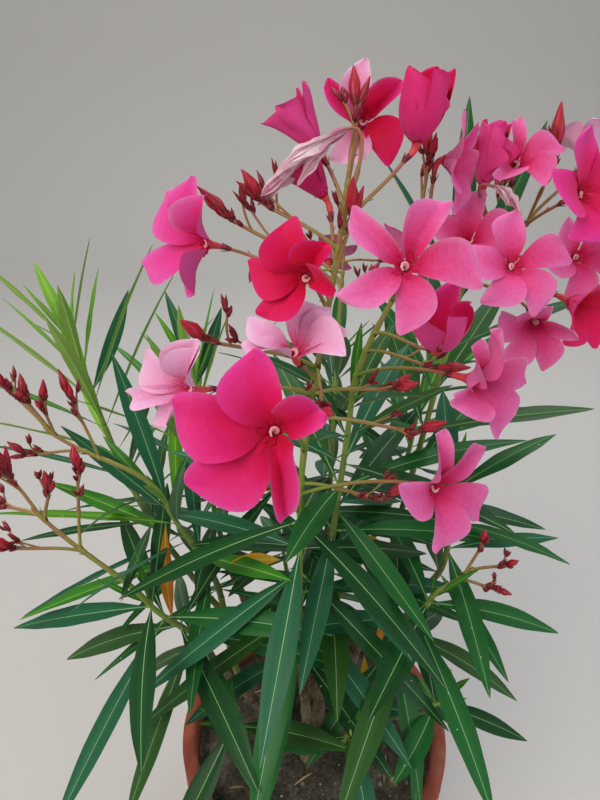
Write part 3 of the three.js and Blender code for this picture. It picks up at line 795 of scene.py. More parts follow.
# One leaf: lance-shaped, folded a little along a pale sunken midrib with a keel below.
def addLeaf(part, row, tone, roll, soft=1.0):
    line = row["line"]
    width = row["width"] * 0.98
    shares = np.concatenate([[0.012, 0.045, 0.09], np.linspace(0.15, 0.9, leaf["rings"] - 5),
                             [0.945, 0.978]])
    ways = waysOn(line, shares)
    sides = row["across"] - ways * (ways @ row["across"])[:, None]
    sides /= np.linalg.norm(sides, axis=1)[:, None]
    tops = np.cross(ways, sides)
    twist = math.radians(roll(-16, 16) * soft) * shares[:, None]
    sides, tops = sides * np.cos(twist) + tops * np.sin(twist), \
        tops * np.cos(twist) - sides * np.sin(twist)
    half = width / 2 * profile(leafOutline, shares)
    rib = np.minimum(mix(0.42, 0.13, shares) * width / 20, half * 0.3) / half
    fold = roll(0.1, 0.3)
    droop = roll(0.05, 0.22)
    sway = roll(-2.2, 2.2) * soft
    wave = roll(0.05, 0.45) * soft
    phase = roll(0, 6.3)
    waves = roll(2.5, 4.5)
    spots = spotsOn(line, shares) + sides * (sway * np.sin(shares * math.pi))[:, None]
    x = []
    z = []
    for column, (t, onRib) in enumerate(leafTop + leafUnder):
        t = t * rib if onRib else t * np.ones_like(shares)
        edge = wave * t * t * np.sin(waves * 2 * math.pi * shares + phase + (t > 0) * 2.4)
        height = fold * abs(t) * half - droop * abs(t) ** 3 * half + edge * np.minimum(half / 6, 1)
        if column < len(leafTop):
            height = height - leaf["groove"] * onRib
        else:
            keel = leaf["keel"] * mix(1, 0.3, shares) * (not t.any())
            height = height - np.minimum(leaf["skin"] * (1 - t * t) + keel, half * 0.5)
        x.append(t * half)
        z.append(height)
    rings = ringsOf(spots, sides, tops, np.array(x).T, np.array(z).T)
    isYoung = tone in ("young", "lime", "fresh")
    faded = tone in ("yellow", "orange")
    blade, inner = leafSlots[tone, "blade"], leafSlots[tone, "inner"]
    ribSlot = leafSlots["ribYoung" if isYoung or faded else "rib"]
    under = inner if faded else leafSlots["underYoung" if isYoung else "under"]
    row15 = [blade, blade, inner, ribSlot, inner, blade, blade, under, under,
             under, ribSlot, ribSlot, under, under, under]
    slots = np.array([row15] * (len(shares) - 1))
    slots[0, :] = leafSlots["stalk"]
    if roll(0, 1) < 0.04 and not isYoung:
        slots[-1, :] = leafSlots["dry"]
    addLoft(part, rings, slots, line[0], line[2], 7)
    return spots, sides, tops, half


# Small pale flecks of dust and dried sap on the upper faces.
def addFleck(part, spot, side, way, top, size, roll):
    turns = np.arange(6) * math.pi / 3 + roll(0, 1)
    reach = [size * roll(0.6, 1.2) for _ in turns]
    ring = np.array([spot + (side * math.cos(t) + way * math.sin(t)) * r
                     for t, r in zip(turns, reach)])
    rings = np.array([ring - top * 0.25, ring + top * 0.02])
    addLoft(part, rings, leafSlots["fleck"], spot - top * 0.3, spot + top * 0.14)


# Single leaves: root (a point, or a share of a shoot), tip, width and tone. The first have turned
# and hang or lie among the green ones; the others stand high on the shoots.
loneLeaves = [
    ((-126, -8, 530), (-131, -14, 424), 12, "orange"),
    ((-30, -40, 520), (-72, -36, 512), 15, "yellow"),
    ((60, -26, 470), (52, -36, 412), 11, "orange"),
    ((46, -14, 372), (44, -20, 306), 10, "yellow"),
    ((-96, -20, 420), (-112, -14, 372), 9, "orange"),
    (("left_inner", 0.96), (-160, 30, 668), 17, "blue"),
    (("left_inner", 0.9), (-211, 27, 603), 14, "blue"),
    (("far_left", 0.78), (-168, 126, 684), 13, "blue"),
    (("back_left", 0.96), (-150, 186, 661), 12, "blue"),
    (("back_left", 0.96), (-92, 168, 651), 13, "blue"),
    (("back_right", 0.96), (106, 92, 840), 19, "green"),
    (("back_right", 0.96), (168, 100, 824), 18, "green"),
]


def toneOf(shoot, share, roll):
    tint = shoot.get("tint")
    rows = [(0.34, "deep"), (0.72, "green"), (0.9, "blue"), (1, "olive")]
    if tint == "young" and share > 0.45:
        rows = [(0.55, "young"), (0.8, "lime"), (1, "fresh")]
    elif tint == "fresh" and share > 0.6:
        rows = [(0.5, "fresh"), (0.75, "young"), (1, "green")]
    elif tint and share > 0.2:
        rows = [(0.45, "blue"), (0.8, "green"), (1, "fresh")]
    pick = roll(0, 1)
    return next(tone for limit, tone in rows if pick < limit)


def buildLeaves():
    finishes = leafFinishes()
    part = newPart()
    for node in ["pot", "soil", *("cane_" + n for n in canes), *("bough_" + n for n in boughs),
                 *("blossom_" + n for n in trusses)]:
        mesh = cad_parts[node].data
        spots = np.array([v.co for v in mesh.vertices]) / mm
        addBody(node, bodyOf(spots, [tuple(p.vertices) for p in mesh.polygons]))
    for name in shoots:
        addBody("leaves_" + name, stemBody(limbLines["shoot_" + name], bark["shootRadius"],
                                           bark["shootTip"], 5, 5))
    grown = {}
    for order, (name, shoot) in enumerate(shoots.items()):
        grown[name] = growLeaves(name, shoot, limbLines["shoot_" + name], 100 + order)
    looks = dice(77)
    count = 0
    placed = []
    for name, rows in grown.items():
        for row in rows:
            tone = toneOf(shoots[name], row["share"], looks)
            if row["share"] < 0.2 and looks(0, 1) < 0.06:
                tone = "yellow"
            placed.append((row, addLeaf(part, row, tone, looks)))
            count += 1
    for root, tip, width, tone in loneLeaves:
        root = spotOn(limbLines["shoot_" + root[0]], root[1]) if len(root) == 2 else np.array(root)
        line = [root, (root + tip) / 2 + compass(looks(0, 360)) * 5, np.array(tip, float)]
        across = unit(np.cross(np.array([0.2, -1, 0.1]), tip - root))
        addLeaf(part, {"line": line, "across": across, "width": width}, tone, looks)
    flowering = {truss["shoot"] for truss in trusses.values()}
    for name, shoot in shoots.items():  # a tuft of half-grown leaves at each tip without blossom
        stem = limbLines["shoot_" + name]
        tender = {"young": "lime", "fresh": "young"}.get(shoot.get("tint"), "fresh")
        for i in range(3 if name in flowering else 7):
            root = spotOn(stem, 1.0 - 0.004 * i)
            way = leafWay(wayOn(stem, 1), shoot["turn"] + i * 137, looks(8, 46))
            length = looks(26, 62)
            line = leafLine(root, way, wayOn(stem, 1), length, 0.0)
            across = unit(np.cross(wayOn(stem, 1), way))
            addLeaf(part, {"line": line, "across": across, "width": length * looks(0.1, 0.14)},
                    tender, looks, 0.3)
    for i in range(leaf["flecks"]):
        row, (spots, sides, tops, half) = placed[int(looks(0, len(placed) - 1))]
        k = int(looks(4, leaf["rings"] - 4))
        t = looks(-0.75, 0.75)
        way = unit(spots[k + 1] - spots[k])
        spot = spots[k] + sides[k] * half[k] * t + tops[k] * (0.16 * abs(t) * half[k] - 0.05)
        addFleck(part, spot, sides[k], way, tops[k], looks(0.35, 0.9), looks)
    meshPiece("leaves", part, finishes, ["leaves_" + name for name in shoots], 62)
    print("leaves:", count, "faces:", len(part["faces"]))


# Trusses: the blossom's stems. A bloom or a cluster of buds leaves the stem at a share of it, and
# its place is given by turn, reach and rise from the stem's foot.

bloomKeys = ("at", "turn", "reach", "rise", "look", "size", "open", "tone", "spin")
budKeys = ("at", "turn", "reach", "rise", "size", "count")


def newBloom(*values, **petals):  # with lean, fold and length of each petal where they differ
    return {"spin": 0, **dict(zip(bloomKeys, values)), **petals}


def newBud(*values):
    return dict(zip(budKeys, values))


trusses = {
    "front": {"shoot": "front", "top": (12, -40, 811), "blooms": [
        newBloom(0.24, -95, 117, 146, (-88, 30), 71, 1, "rose", 6, breadth=0.74, even=0.25,
                 lean=(4, 22, -1, -24, -37), fold=(40, 4, 6, 4, 56), long=(0.62, 1, 1.2, 1.13, 0.98)),
        newBloom(0.42, -145, 74, 125, (-128, 24), 62, 0.9, "pale", -8, lean=(64, -6, 8, -22, -40),
                 fold=(50, 44, 4, 36, 30), long=(0.95, 1.05, 1, 1.16, 0.8)),
        newBloom(0.66, -82, 21, 181, (-106, 22), 57, 0.85, "deep", 20, breadth=0.74,
                 lean=(24, 12, 2, -12, 14), fold=(50, 6, 6, 22, 48), long=(0.8, 1, 1, 1.08, 0.72)),
        newBloom(0.46, -96, 28, 141, (-90, 66), 60, 0.85, "pale", breadth=0.68,
                 lean=(6, -30, 0, -34, 38), fold=(4, 10, 6, 30, 30)),
        newBloom(0.7, 160, 60, 187, (-130, 14), 70, 0.9, "vivid", 10, lean=(46, 8, -28, -28, -26),
                 fold=(50, 6, 4, 4, 58), long=(0.9, 1, 1, 1.3, 0.85)),
        newBloom(0.92, 80, 51, 237, (168, 50), 55, 0.3, "rose", fold=(30, 16, 34, 20, 30)),
        # Seen from its back: the darker rose and deep petals carry painted shade, and the pale ones are
        # its lighter upper petals.
        newBloom(0.97, 64, 88, 247, (-92, 14), 64, 0.8, "vivid", 14,
                 mixed=("rose", "pale", "rose", "pale", "deep"), lean=(16, 0, -26, 0, -6),
                 fold=(46, 10, 40, 10, 6)),
        newBloom(0.86, 29, 75, 242, (-30, 84), 57, 0.08, "deep"),
        newBloom(0.78, 71, 42, 211, (165, 52), 44, 0.3, "deep"),
        newBloom(0.08, -34, 95, 66, (-58, 20), 70, 1, "pink", 8, lean=(8, -7, -5, 14, 4),
                 fold=(20, 34, 10, 10, 4)),
    ], "buds": [
        newBud(0.74, 147, 48, 200, 1.5, 3), newBud(0.82, 125, 38, 208, 1.3, 2),
        newBud(0.95, 51, 50, 256, 1.1, 2), newBud(0.12, -20, 58, 30, 1.1, 2),
        newBud(0.42, -16, 58, 111, 1.1, 3), newBud(0.34, -14, 76, 82, 1.1, 3),
        newBud(0.5, -71, 39, 110, 1, 1), newBud(0.72, 23, 31, 203, 1.1, 3),
        newBud(0.5, -162, 56, 143, 1.5, 1),
    ], "spent": {"at": 0.8, "turn": 45, "reach": 34, "rise": 248, "heading": 174, "length": 66}},
    "middle": {"shoot": "middle", "top": (67, -4, 775), "blooms": [
        newBloom(0.6, -82, 96, 129, (-98, 32), 70, 1, "pink", -22, breadth=0.51, lean=(2, -2, 4, 8, -4),
                 fold=(6, 20, 34, 16, 4)),
        newBloom(0.15, -55, 101, 61, (-54, 10), 66, 0.85, "pink", -16, lean=(-8, 16, -26, -30, 6),
                 fold=(8, 50, 46, 34, 4)),
        newBloom(0.4, -52, 71, 69, (-110, 74), 56, 0.18, "rose"),
        newBloom(0.94, 14, 54, 160, (-30, 0), 58, 0.85, "pink", 30),
        newBloom(0.8, 18, 79, 109, (-104, 40), 60, 0.8, "pink"),
    ], "buds": [
        newBud(0.8, 20, 44, 160, 1.1, 3), newBud(0.3, -36, 60, 44, 1.1, 2),
    ]},
    "right": {"shoot": "back_right", "top": (150, 50, 763), "blooms": [
        newBloom(0.3, -86, 87, 47, (-86, 36), 66, 1, "pink", lean=(-5, 3, 14, 2, -10)),
        newBloom(0.7, -52, 81, 85, (-60, 26), 72, 0.95, "rose", 10, breadth=0.72),
        newBloom(0.8, -67, 38, 98, (-88, 46), 54, 0.85, "pink", fold=(6, 40, 44, 20, 6)),
        newBloom(0.5, -98, 38, 88, (-60, 84), 58, 0, "rose"),
        newBloom(0.15, -55, 92, 19, (-64, -6), 60, 0.6, "deep"),
        newBloom(0.1, -71, 87, 8, (-108, -14), 58, 0.6, "pink"),
        newBloom(0.95, 7, 77, 99, (90, 60), 52, 0.7, "pale"),
        newBloom(0.4, -31, 77, 38, (-84, 24), 56, 0.9, "pink", 30),
    ], "buds": [
        newBud(0.95, -24, 50, 98, 1.7, 1), newBud(0.6, 52, 50, 68, 1.1, 3),
    ], "spent": {"at": 0.6, "turn": -94, "reach": 56, "rise": 88, "heading": 6, "length": 27}},
    "left": {"shoot": "left", "top": (-203, -60, 590), "blooms": [], "buds": [
        newBud(0.62, 175, 35, 131, 1.1, 3), newBud(0.6, -161, 84, 87, 1.2, 3),
        newBud(0.95, -178, 80, 131, 1.3, 4), newBud(0.9, -166, 52, 124, 1, 3),
        newBud(0.93, 177, 98, 98, 1, 3),
    ]},
    "left_inner": {"shoot": "left_inner", "top": (-215, 10, 612), "blooms": [], "buds": [
        newBud(0.6, 171, 65, 93, 1.1, 3), newBud(0.92, 180, 83, 92, 1.1, 3),
        newBud(0.95, 175, 100, 95, 1, 3), newBud(0.98, 171, 117, 98, 1.1, 4),
        newBud(0.7, -174, 101, 55, 0.9, 2),
    ]},
    "right_low": {"shoot": "right", "top": (120, -46, 516), "blooms": [], "buds": [
        newBud(0.8, 12, 38, 54, 0.6, 4), newBud(0.97, 0, 56, 38, 0.6, 4),
        newBud(0.7, -14, 48, 24, 0.6, 4),
    ]},
    "back": {"shoot": "back", "top": (26, 168, 706), "blooms": [
        newBloom(0.6, 96, 76, 70, (92, 34), 66, 1, "pink"),
        newBloom(0.8, 168, 60, 84, (150, 36), 62, 0.9, "rose"),
        newBloom(0.9, 30, 62, 88, (34, 40), 62, 0.9, "pink"),
    ], "buds": [
        newBud(0.7, 130, 48, 92, 1.1, 3), newBud(0.5, 52, 52, 64, 1.1, 3),
    ]},
}

blossom = {
    "trussRadius": 2.4, "trussTip": 1.4, "budLength": 21, "budWidth": 4.8,
    "budKnob": 2.3, "petals": 5, "firstTurn": 17, "skin": 0.55, "mouth": 0.1, "tubeLength": 22,
    "steps": 12, "rings": 20, "tubeSides": 15, "liftShut": 76, "liftOpen": 12,
    "petalShut": 0.62, "petalOpen": 0.53, "branchFoot": 1.35, "branchEnd": 1.1,
}

# Petal tones: the throat, the blade's middle, its outer part, and the outside of the petal.
petalTones = {
    "rose": ("#c20833", "#dc1460", "#e03894", "#e64690"),
    "deep": ("#be0632", "#dc0a4a", "#e01c6c", "#dc2a74"),
    "pink": ("#ca1048", "#e0488a", "#eb7cb8", "#e06aa4"),
    "vivid": ("#d01454", "#ec3a94", "#f264b6", "#e8549e"),
    "pale": ("#d02c5e", "#f09cc6", "#fac4e2", "#eeb0d2"),
    "spent": ("#c06a88", "#e2b4c2", "#f2dce0", "#e0b4c2"),
}
blossomExtras = {
    "line": "#a80c3c", "crown": "#ecb0b4", "throat": "#a00c30",
    "tube": "#d8444a", "tubeLow": "#a8303a", "calyx": "#7c2026", "calyxTip": "#5a181c",
    "budRed": "#a81628", "budDark": "#7a1020", "budBright": "#b61a38", "budBrown": "#7d3a2c",
    "budYoung": "#8c1c28",
}
petalSlots = {}


# Petal tissue: thin and velvety, so it has no hard gloss, light soaks a little way in, and its
# edges pick up a paler sheen.
def petalFinishes():
    finishes = []
    for tone, (*blade, back) in petalTones.items():
        petalSlots[tone] = len(finishes)
        for step in range(blossom["steps"]):
            colour = between(blade, step / (blossom["steps"] - 1))
            finishes.append(plainFinish(f"petal_{tone}_{step}", colour, {
                "Roughness": 0.6, "Specular IOR Level": 0.2, "Sheen Weight": 0.14,
                "Sheen Roughness": 0.45, "Sheen Tint": linear("#f7a8dc"),
                "Subsurface Weight": 0.2, "Subsurface Scale": 0.003}))
        petalSlots[tone, "back"] = len(finishes)
        finishes.append(plainFinish(f"petal_{tone}_back", back, {
            "Roughness": 0.65, "Specular IOR Level": 0.2, "Sheen Weight": 0.14,
            "Sheen Tint": linear("#f7a8dc")}))
    for name, colour in blossomExtras.items():
        petalSlots[name] = len(finishes)
        finishes.append(plainFinish("blossom_" + name, colour, {
            "Roughness": 0.42 if "bud" in name else 0.55}))
    return finishes


# Half widths of a petal on its two sides, as shares of its full width: a full round shoulder on
# one side, a straighter edge on the other, and an oblique cut end with its corner on that side.
petalShoulder = [(0, 0.10), (0.1, 0.16), (0.25, 0.32), (0.42, 0.50), (0.58, 0.61),
                 (0.7, 0.63), (0.79, 0.55), (0.88, 0.34), (0.95, 0.04), (1, -0.27)]
petalStraight = [(0, 0.10), (0.1, 0.13), (0.25, 0.22), (0.42, 0.31), (0.6, 0.36),
                 (0.78, 0.385), (0.9, 0.39), (0.96, 0.38), (1, 0.33)]


# The face of one petal: a function from shares along and across to points and normals.
def petalFace(mouth, side, rise, look, length, lift, row, petal, roll):
    lean = row.get("lean", (0,) * 5)[petal] + roll(-5, 5)
    fold = math.radians(row.get("fold", (0,) * 5)[petal] + roll(0, 12))
    outward = around(side, rise, petal * 72 + blossom["firstTurn"] + row["spin"] + lean)
    over = np.cross(look, outward)
    start = length * blossom["mouth"]
    reach = length * row.get("long", (1,) * 5)[petal] * roll(0.94, 1.02)
    steep = lift + math.radians(roll(-4, 10))
    bend = np.array([
        [start * 0.8, -length * 0.1],
        [mix(start, reach * math.cos(steep), 0.3), reach * (0.3 * math.sin(steep) + 0.15)],
        [reach * math.cos(lift), reach * (math.sin(lift) - 0.02)],
    ])
    even = row.get("even", 0) / 2
    breadth = row.get("breadth", 0.6) * roll(0.92, 1.1)
    furled = 1 - float(smooth(0.1, 0.4, row["open"]))  # a bloom that opens is a barrel of petals
    barrel = mix(0.2, 0.46, min(row["open"] / 0.15, 1))
    bend = mix(bend, np.array([bend[0], [length * barrel * 1.6, length * 0.2],
                               [length * barrel * 0.9, length * 0.95]]), furled)
    twist = roll(0.14, 0.34)
    curl = roll(-0.5, 0.35)
    phase = roll(0, 6.3)
    ripple = roll(0.008, 0.022)
    hollow = roll(0.1, 0.24)

    def faceAt(s, t):
        s, t = np.broadcast_arrays(np.asarray(s, float), np.asarray(t, float))
        left = profile(petalStraight, s)
        right = profile(petalShoulder, s)
        left, right = mix(left, right, even), mix(right, left, even)
        x = (left + right) / 2 * t + (right - left) / 2
        x = x * breadth * length
        a, b, c = bend
        q = s[..., None]
        flat = a * (1 - q) ** 2 + b * 2 * q * (1 - q) + c * q * q
        way = (b - a) * (1 - q) + (c - b) * q
        way = way / np.linalg.norm(way, axis=-1)[..., None]
        z = twist * x * (0.4 + 0.6 * s)
        z = z + hollow * length * t * t * (smooth(0, 0.3, s) - 1.6 * smooth(0.45, 1, s)) * 0.35
        z = z + ripple * length * s * np.sin(5.2 * s + 2.6 * t + phase)
        z = z + 0.6 * ripple * length * s * abs(t) * np.sin(17 * s + phase * 2)
        z = z + curl * length * np.clip(s - 0.68, 0, 1) ** 2
        z = z + furled * x * x / (length * 2.1 * barrel)
        z = z + abs(x) * math.sin(fold) * smooth(0.05, 0.5, s)
        x = x * (1 - (1 - math.cos(fold)) * smooth(0.05, 0.5, s))
        along = outward * way[..., :1] + look * way[..., 1:]
        normal = np.cross(along, over)
        spot = mouth + outward * flat[..., :1] + look * flat[..., 1:]
        return spot + over * x[..., None] + normal * z[..., None], normal
    return faceAt


def addPetal(part, faceAt, tone, roll):
    rings = 1 - (1 - np.linspace(0, 1, blossom["rings"] + 1)[:-1]) ** 1.35
    t = np.linspace(-1, 1, 11)
    topFace = faceAt(rings[:, None], t[None, :])[0]
    inner = t[1:-1][::-1]
    lowFace, lowNormals = faceAt(rings[:, None], inner[None, :])
    skin = blossom["skin"] * (1 - 0.75 * rings[:, None]) + 0.12
    lowFace = lowFace - lowNormals * (skin * (1 - inner[None, :] ** 2))[:, :, None]
    loop = np.concatenate([topFace, lowFace], axis=1)
    first = petalSlots[tone]
    s = rings[:-1, None]
    value = 0.5 * np.minimum(s / 0.34, 1) ** 0.9 + 0.5 * np.clip((s - 0.34) / 0.66, 0, 1)
    value = value * (blossom["steps"] - 1.6) + roll(-1, 0.6)
    shift = np.array([1.2, 0.2, -0.5, -0.9, -0.8, -0.3, 0.2, 0.5, 0.7, 1.4])  # deeper down one side
    steps = np.round(value + shift[None, :] * smooth(0.2, 0.6, s))
    slots = np.full((len(rings) - 1, loop.shape[1]), petalSlots[tone, "back"])
    slots[:, :10] = first + np.clip(steps, 0, blossom["steps"] - 1)
    slots[0, :] = first
    tip = faceAt(np.array(1.0), np.array(0.0))[0]
    addLoft(part, loop, slots, None, tip, 10)
    long = tone == "pale"
    for t in (-0.4, 0.05, 0.42) if long else (-0.3, 0.36):  # fine lines that run out of the throat
        s = np.linspace(0.1, (0.42 if long else 0.3) * roll(0.75, 1.1), 7)
        spots, normal = faceAt(s, t * (1 - 0.5 * s) + 0.08 * np.sin(s * 12 + t * 7))
        kind = petalSlots["line"] if long else petalSlots[tone]
        addTube(part, spots + normal * 0.04, 0.22 * (1 - s / s[-1] * 0.7), kind, 4)


# A bloom on its branch: five petals, the funnel with its crown and anthers' plumes, the tube and
# a calyx of five sepals. Its length is that of a petal.
def addBloom(petals, twigs, stem, foot, row, roll):
    look = compass(*row["look"])
    lift = math.radians(mix(blossom["liftShut"], blossom["liftOpen"], row["open"]))
    length = row["size"] * mix(blossom["petalShut"], blossom["petalOpen"], row["open"])
    face = placeFrom(foot, row)
    line = branchLine(spotOn(stem, row["at"]), face + look * 0.2 * length * math.sin(lift), look)
    share = max(1 - blossom["tubeLength"] / lengthOf(line), 0.3)
    s = np.linspace(0, share, 16)
    low = int(3.4 * row["at"])
    kinds = np.round(mix(low, 5.4, s[:-1] / share)).astype(int)
    radii = mix(blossom["branchFoot"], blossom["branchEnd"], s / share)
    addTube(twigs, spotsOn(line, s), radii, kinds, 8)
    side, rise = axesOf(look)
    mouth = face + look * 0.06 * length * math.sin(lift)
    for petal in range(blossom["petals"]):
        faceAt = petalFace(mouth, side, rise, look, length, lift, row, petal, roll)
        # A row may give each petal its own tone; on one bloom the darker of these tones are painted
        # shade.
        addPetal(petals, faceAt, row.get("mixed", (row["tone"],) * 5)[petal], roll)
    radius = blossom["mouth"] * length * 0.8
    rim = mouth - look * length * 0.1
    end = spotOn(line, share)
    s = np.linspace(0, 1, 12)
    widths = profile([(0, 1.25), (0.3, 1.5), (0.55, 2.0), (0.8, radius * 0.8), (1, radius + 0.45)], s)
    spots = spotsOn([end, end + wayOn(line, share) * 6, rim - look * 7, rim], s)
    across, deep = framesAlong(spots, side)
    cup = np.array([(radius + 0.35, 0.5), (radius * 0.72, -0.8), (radius * 0.4, -2.6)])
    spots = np.vstack([spots, rim + look * cup[:, 1:]])
    across, deep = (np.vstack([v] + [v[-1:]] * 3) for v in (across, deep))
    widths = np.concatenate([widths, cup[:, 0]])[:, None]
    rings = roundRings(spots, across, deep, widths, ringTurns(blossom["tubeSides"]))
    kinds = ["tubeLow"] * 4 + ["tube"] * 7 + [row["tone"], row["tone"], "throat"]
    kinds = np.array([petalSlots[kind] for kind in kinds])[:, None]
    addLoft(petals, rings, kinds, end, rim - look * 3.2)
    addCrown(petals, rim, side, rise, look, radius, row, roll)
    addSepals(petals, end, wayOn(line, share), 1.3, 5.5, roll)
    addKnot(twigs, stem, row["at"], line, low, roll)
    for place in (0.45, 0.8):
        spot, way = spotOn(line, share * place), wayOn(line, share * place)
        out = unit(np.cross(way, compass(roll(0, 360), 30)))
        addBract(twigs, spot + out, way, out, roll(2, 3.4))


# The crown: ragged crimson lobes at the petals' feet, and the anthers' pale plumes, curled
# together in the mouth.
def addCrown(part, rim, side, rise, look, radius, row, roll):
    for petal in range(blossom["petals"]):
        for tooth in (-17, -6, 6, 17):
            turn = petal * 72 + blossom["firstTurn"] + row["spin"] + tooth + roll(-4, 4)
            out = around(side, rise, turn)
            over = np.cross(look, out)
            long = roll(2.6, 6.4) * row["size"] / 66
            foot = rim + out * radius + look * 0.8
            tip = foot + look * long * 0.62 + out * long * 0.8 + over * roll(-1, 1)
            line = [foot, (foot + tip) / 2 + look * 0.4, tip]
            kind = petalSlots[row["tone"]] + int(roll(0, 3.2))
            addBlade(part, line, over, roll(1.5, 2.3), kind, roll, 5)
    lean = roll(0, 6.3)
    s = np.linspace(0, 1, 10)
    reach = 0.3 + 2.2 * s
    for plume in range(3):
        turn = lean + plume * 0.7 + s * 3.8
        spots = rim + np.outer(-2.0 + 6.6 * s - 2.2 * s ** 3, look) + \
            np.outer(np.cos(turn) * reach, side) + np.outer(np.sin(turn) * reach, rise)
        addTube(part, spots, 1 - 0.55 * s, petalSlots["crown"], 6)


# A small pointed scale, lens-shaped across, with its own rise above and below.
def addScale(part, line, over, out, s, half, high, low, kinds):
    x = half[:, None] * np.array([-1, 0, 1, 0])
    z = np.ones((len(s), 1)) * np.array([0, high, 0, -low])
    addLoft(part, ringsOf(spotsOn(line, s), over, out, x, z), kinds, None, line[-1])


def addSepals(part, foot, way, radius, length, roll, steps=5, count=5):
    side, rise = axesOf(way)
    s = np.linspace(0, 1, steps)
    half = radius * 0.75 * np.interp(s, [0, 0.25, 0.5, 0.75, 1], [0.8, 1, 0.8, 0.5, 0.15])
    kinds = np.repeat([petalSlots["calyx"], petalSlots["calyxTip"]], steps // 2)[:, None]
    for i in range(count):
        out = around(side, rise, i * 360 / count + roll(-8, 8))
        root = foot + out * radius * 0.5 - way * 0.8
        tip = foot + way * length * roll(0.85, 1.1) + out * (radius + length * 0.22)
        line = [root, foot + way * length * 0.45 + out * (radius + 0.7), tip]
        addScale(part, line, np.cross(out, way), out, s * 0.94, half, 0.3, 0.25, kinds)


# A bud: a spindle of furled petals, turned like a screw, in its calyx. A small one has fewer faces
# and is darker.
def addBud(part, root, direction, length, width, roll, bright=0.0):
    small = width < 3.2
    steps, sides, sepals = (9, 10, 3) if small else (15, 15, 5)
    side, rise = axesOf(direction)
    bend = [root, root + direction * length * 0.5 + side * roll(-0.8, 0.8), root + direction * length]
    s = np.linspace(0, 0.97, steps)[:, None]
    half = width * 0.55 * profile([(0, 0.3), (0.14, 0.3), (0.24, 0.5), (0.42, 0.9), (0.58, 1.0),
                                   (0.78, 0.62), (0.92, 0.28), (1, 0.1)], s)
    turns = ringTurns(sides)
    half = half * (1 + 0.13 * np.cos(5 * turns - 9.6 * s) * smooth(0.2, 0.4, s))
    rings = roundRings(spotsOn(bend, s[:, 0]), side, rise, half, turns)
    shades = ("budBright", "budRed") if bright > 0.5 else ("budRed", "budDark")
    if small:
        shades = ("budYoung", "budDark")
    groove = np.cos(5 * turns - 9.6 * s[:-1] + 0.6) < -0.2
    kinds = np.where(groove, petalSlots[shades[1]], petalSlots[shades[0]])
    kinds[s[:-1, 0] < 0.24, :] = petalSlots["budBrown"]
    addLoft(part, rings, kinds, root, bend[2])
    addSepals(part, spotOn(bend, 0.2), direction, width * 0.28, length * 0.2, roll, sepals)


stems = {
    "waxy": ("#7f9438", "#94893c", "#a0644a"), "green": ("#5f6e33", "#86a044"),
    "bract": "#6e3f28", "steps": 6, "shootSteps": 4, "sides": 12,
}


# Green stem tissue: smooth and a little waxy, yellow-green low down and red-brown towards the
# blooms, where the sun has coloured it.
def stemFinishes():
    finishes = []
    for kind, colours, steps in (("waxy", stems["waxy"], stems["steps"]),
                                 ("green", stems["green"], stems["shootSteps"])):
        for step in range(steps):
            colour = between(colours, step / (steps - 1))
            finishes.append(plainFinish(f"stem_{kind}_{step}", colour, {"Roughness": 0.5}))
    finishes.append(plainFinish("stem_bract", stems["bract"], {"Roughness": 0.6}))
    return finishes


def addBract(part, spot, way, out, length):
    tip = spot + unit(out * 0.45 + way) * length
    line = [spot, (spot + tip) / 2 + out * length * 0.12, tip]
    half = length * 0.17 * np.array([1, 0.9, 0.55, 0.12])
    kind = stems["steps"] + stems["shootSteps"]
    addScale(part, line, np.cross(out, way), out, [0, 0.3, 0.65, 0.92], half, 0.25, 0.2, kind)


def placeFrom(foot, row):
    spot = foot + compass(row["turn"]) * row["reach"]
    spot[2] = foot[2] + row["rise"]
    return spot


def addBranch(part, line, startStep, endStep, start, end):
    s = np.linspace(0, 1, max(8, int(lengthOf(line) / 5)))
    kinds = np.round(mix(startStep, endStep, s[:-1] ** 0.8)).astype(int)
    radii = mix(start, end, s) + 0.5 * np.exp(-((s - 0.5) / 0.03) ** 2)
    addTube(part, spotsOn(line, s), radii, kinds, 8)


# A cluster of buds at the end of a branch, with small ones round it and on side twigs.
def addCluster(buds, twigs, stem, foot, row, isRipe, roll, looks):
    start = spotOn(stem, row["at"])
    end = placeFrom(foot, row)
    outward = unit(end - start)
    line = branchLine(start, end, outward)
    low = int(3.4 * row["at"])
    addBranch(twigs, line, low, 5, 1.25, 1.15)
    addKnot(twigs, stem, row["at"], line, low, looks)
    for i in range(row["count"]):
        direction = stray(outward, roll, -10, 40, 0.45, 0.35)
        length = blossom["budLength"] * row["size"] * roll(0.8, 1.25)
        grown = 1.0 if i == 0 else looks(0.5, 0.8)
        width = blossom["budWidth"] * mix(1, row["size"], 0.5) * (1.15 if i == 0 else 0.75)
        bright = 0.9 if isRipe and i == 0 else looks(0, 0.6)
        addBud(buds, end - outward * blossom["budKnob"], direction, length * grown, width, looks,
               bright)
    for i in range(5):
        direction = stray(outward, looks, -20, 60, 0.7, 0.2)
        base = end - outward * looks(1, 11)
        addBud(buds, base, direction, looks(5, 11), looks(1.8, 2.6), looks)
    for i in range(7):
        out = unit(np.cross(outward, compass(looks(0, 360), 30)))
        addBract(twigs, end - outward * looks(0, 10), outward, out, looks(3, 6.5))
    for share in (0.58, 0.8):
        addSprig(twigs, buds, line, share, row["size"], looks)


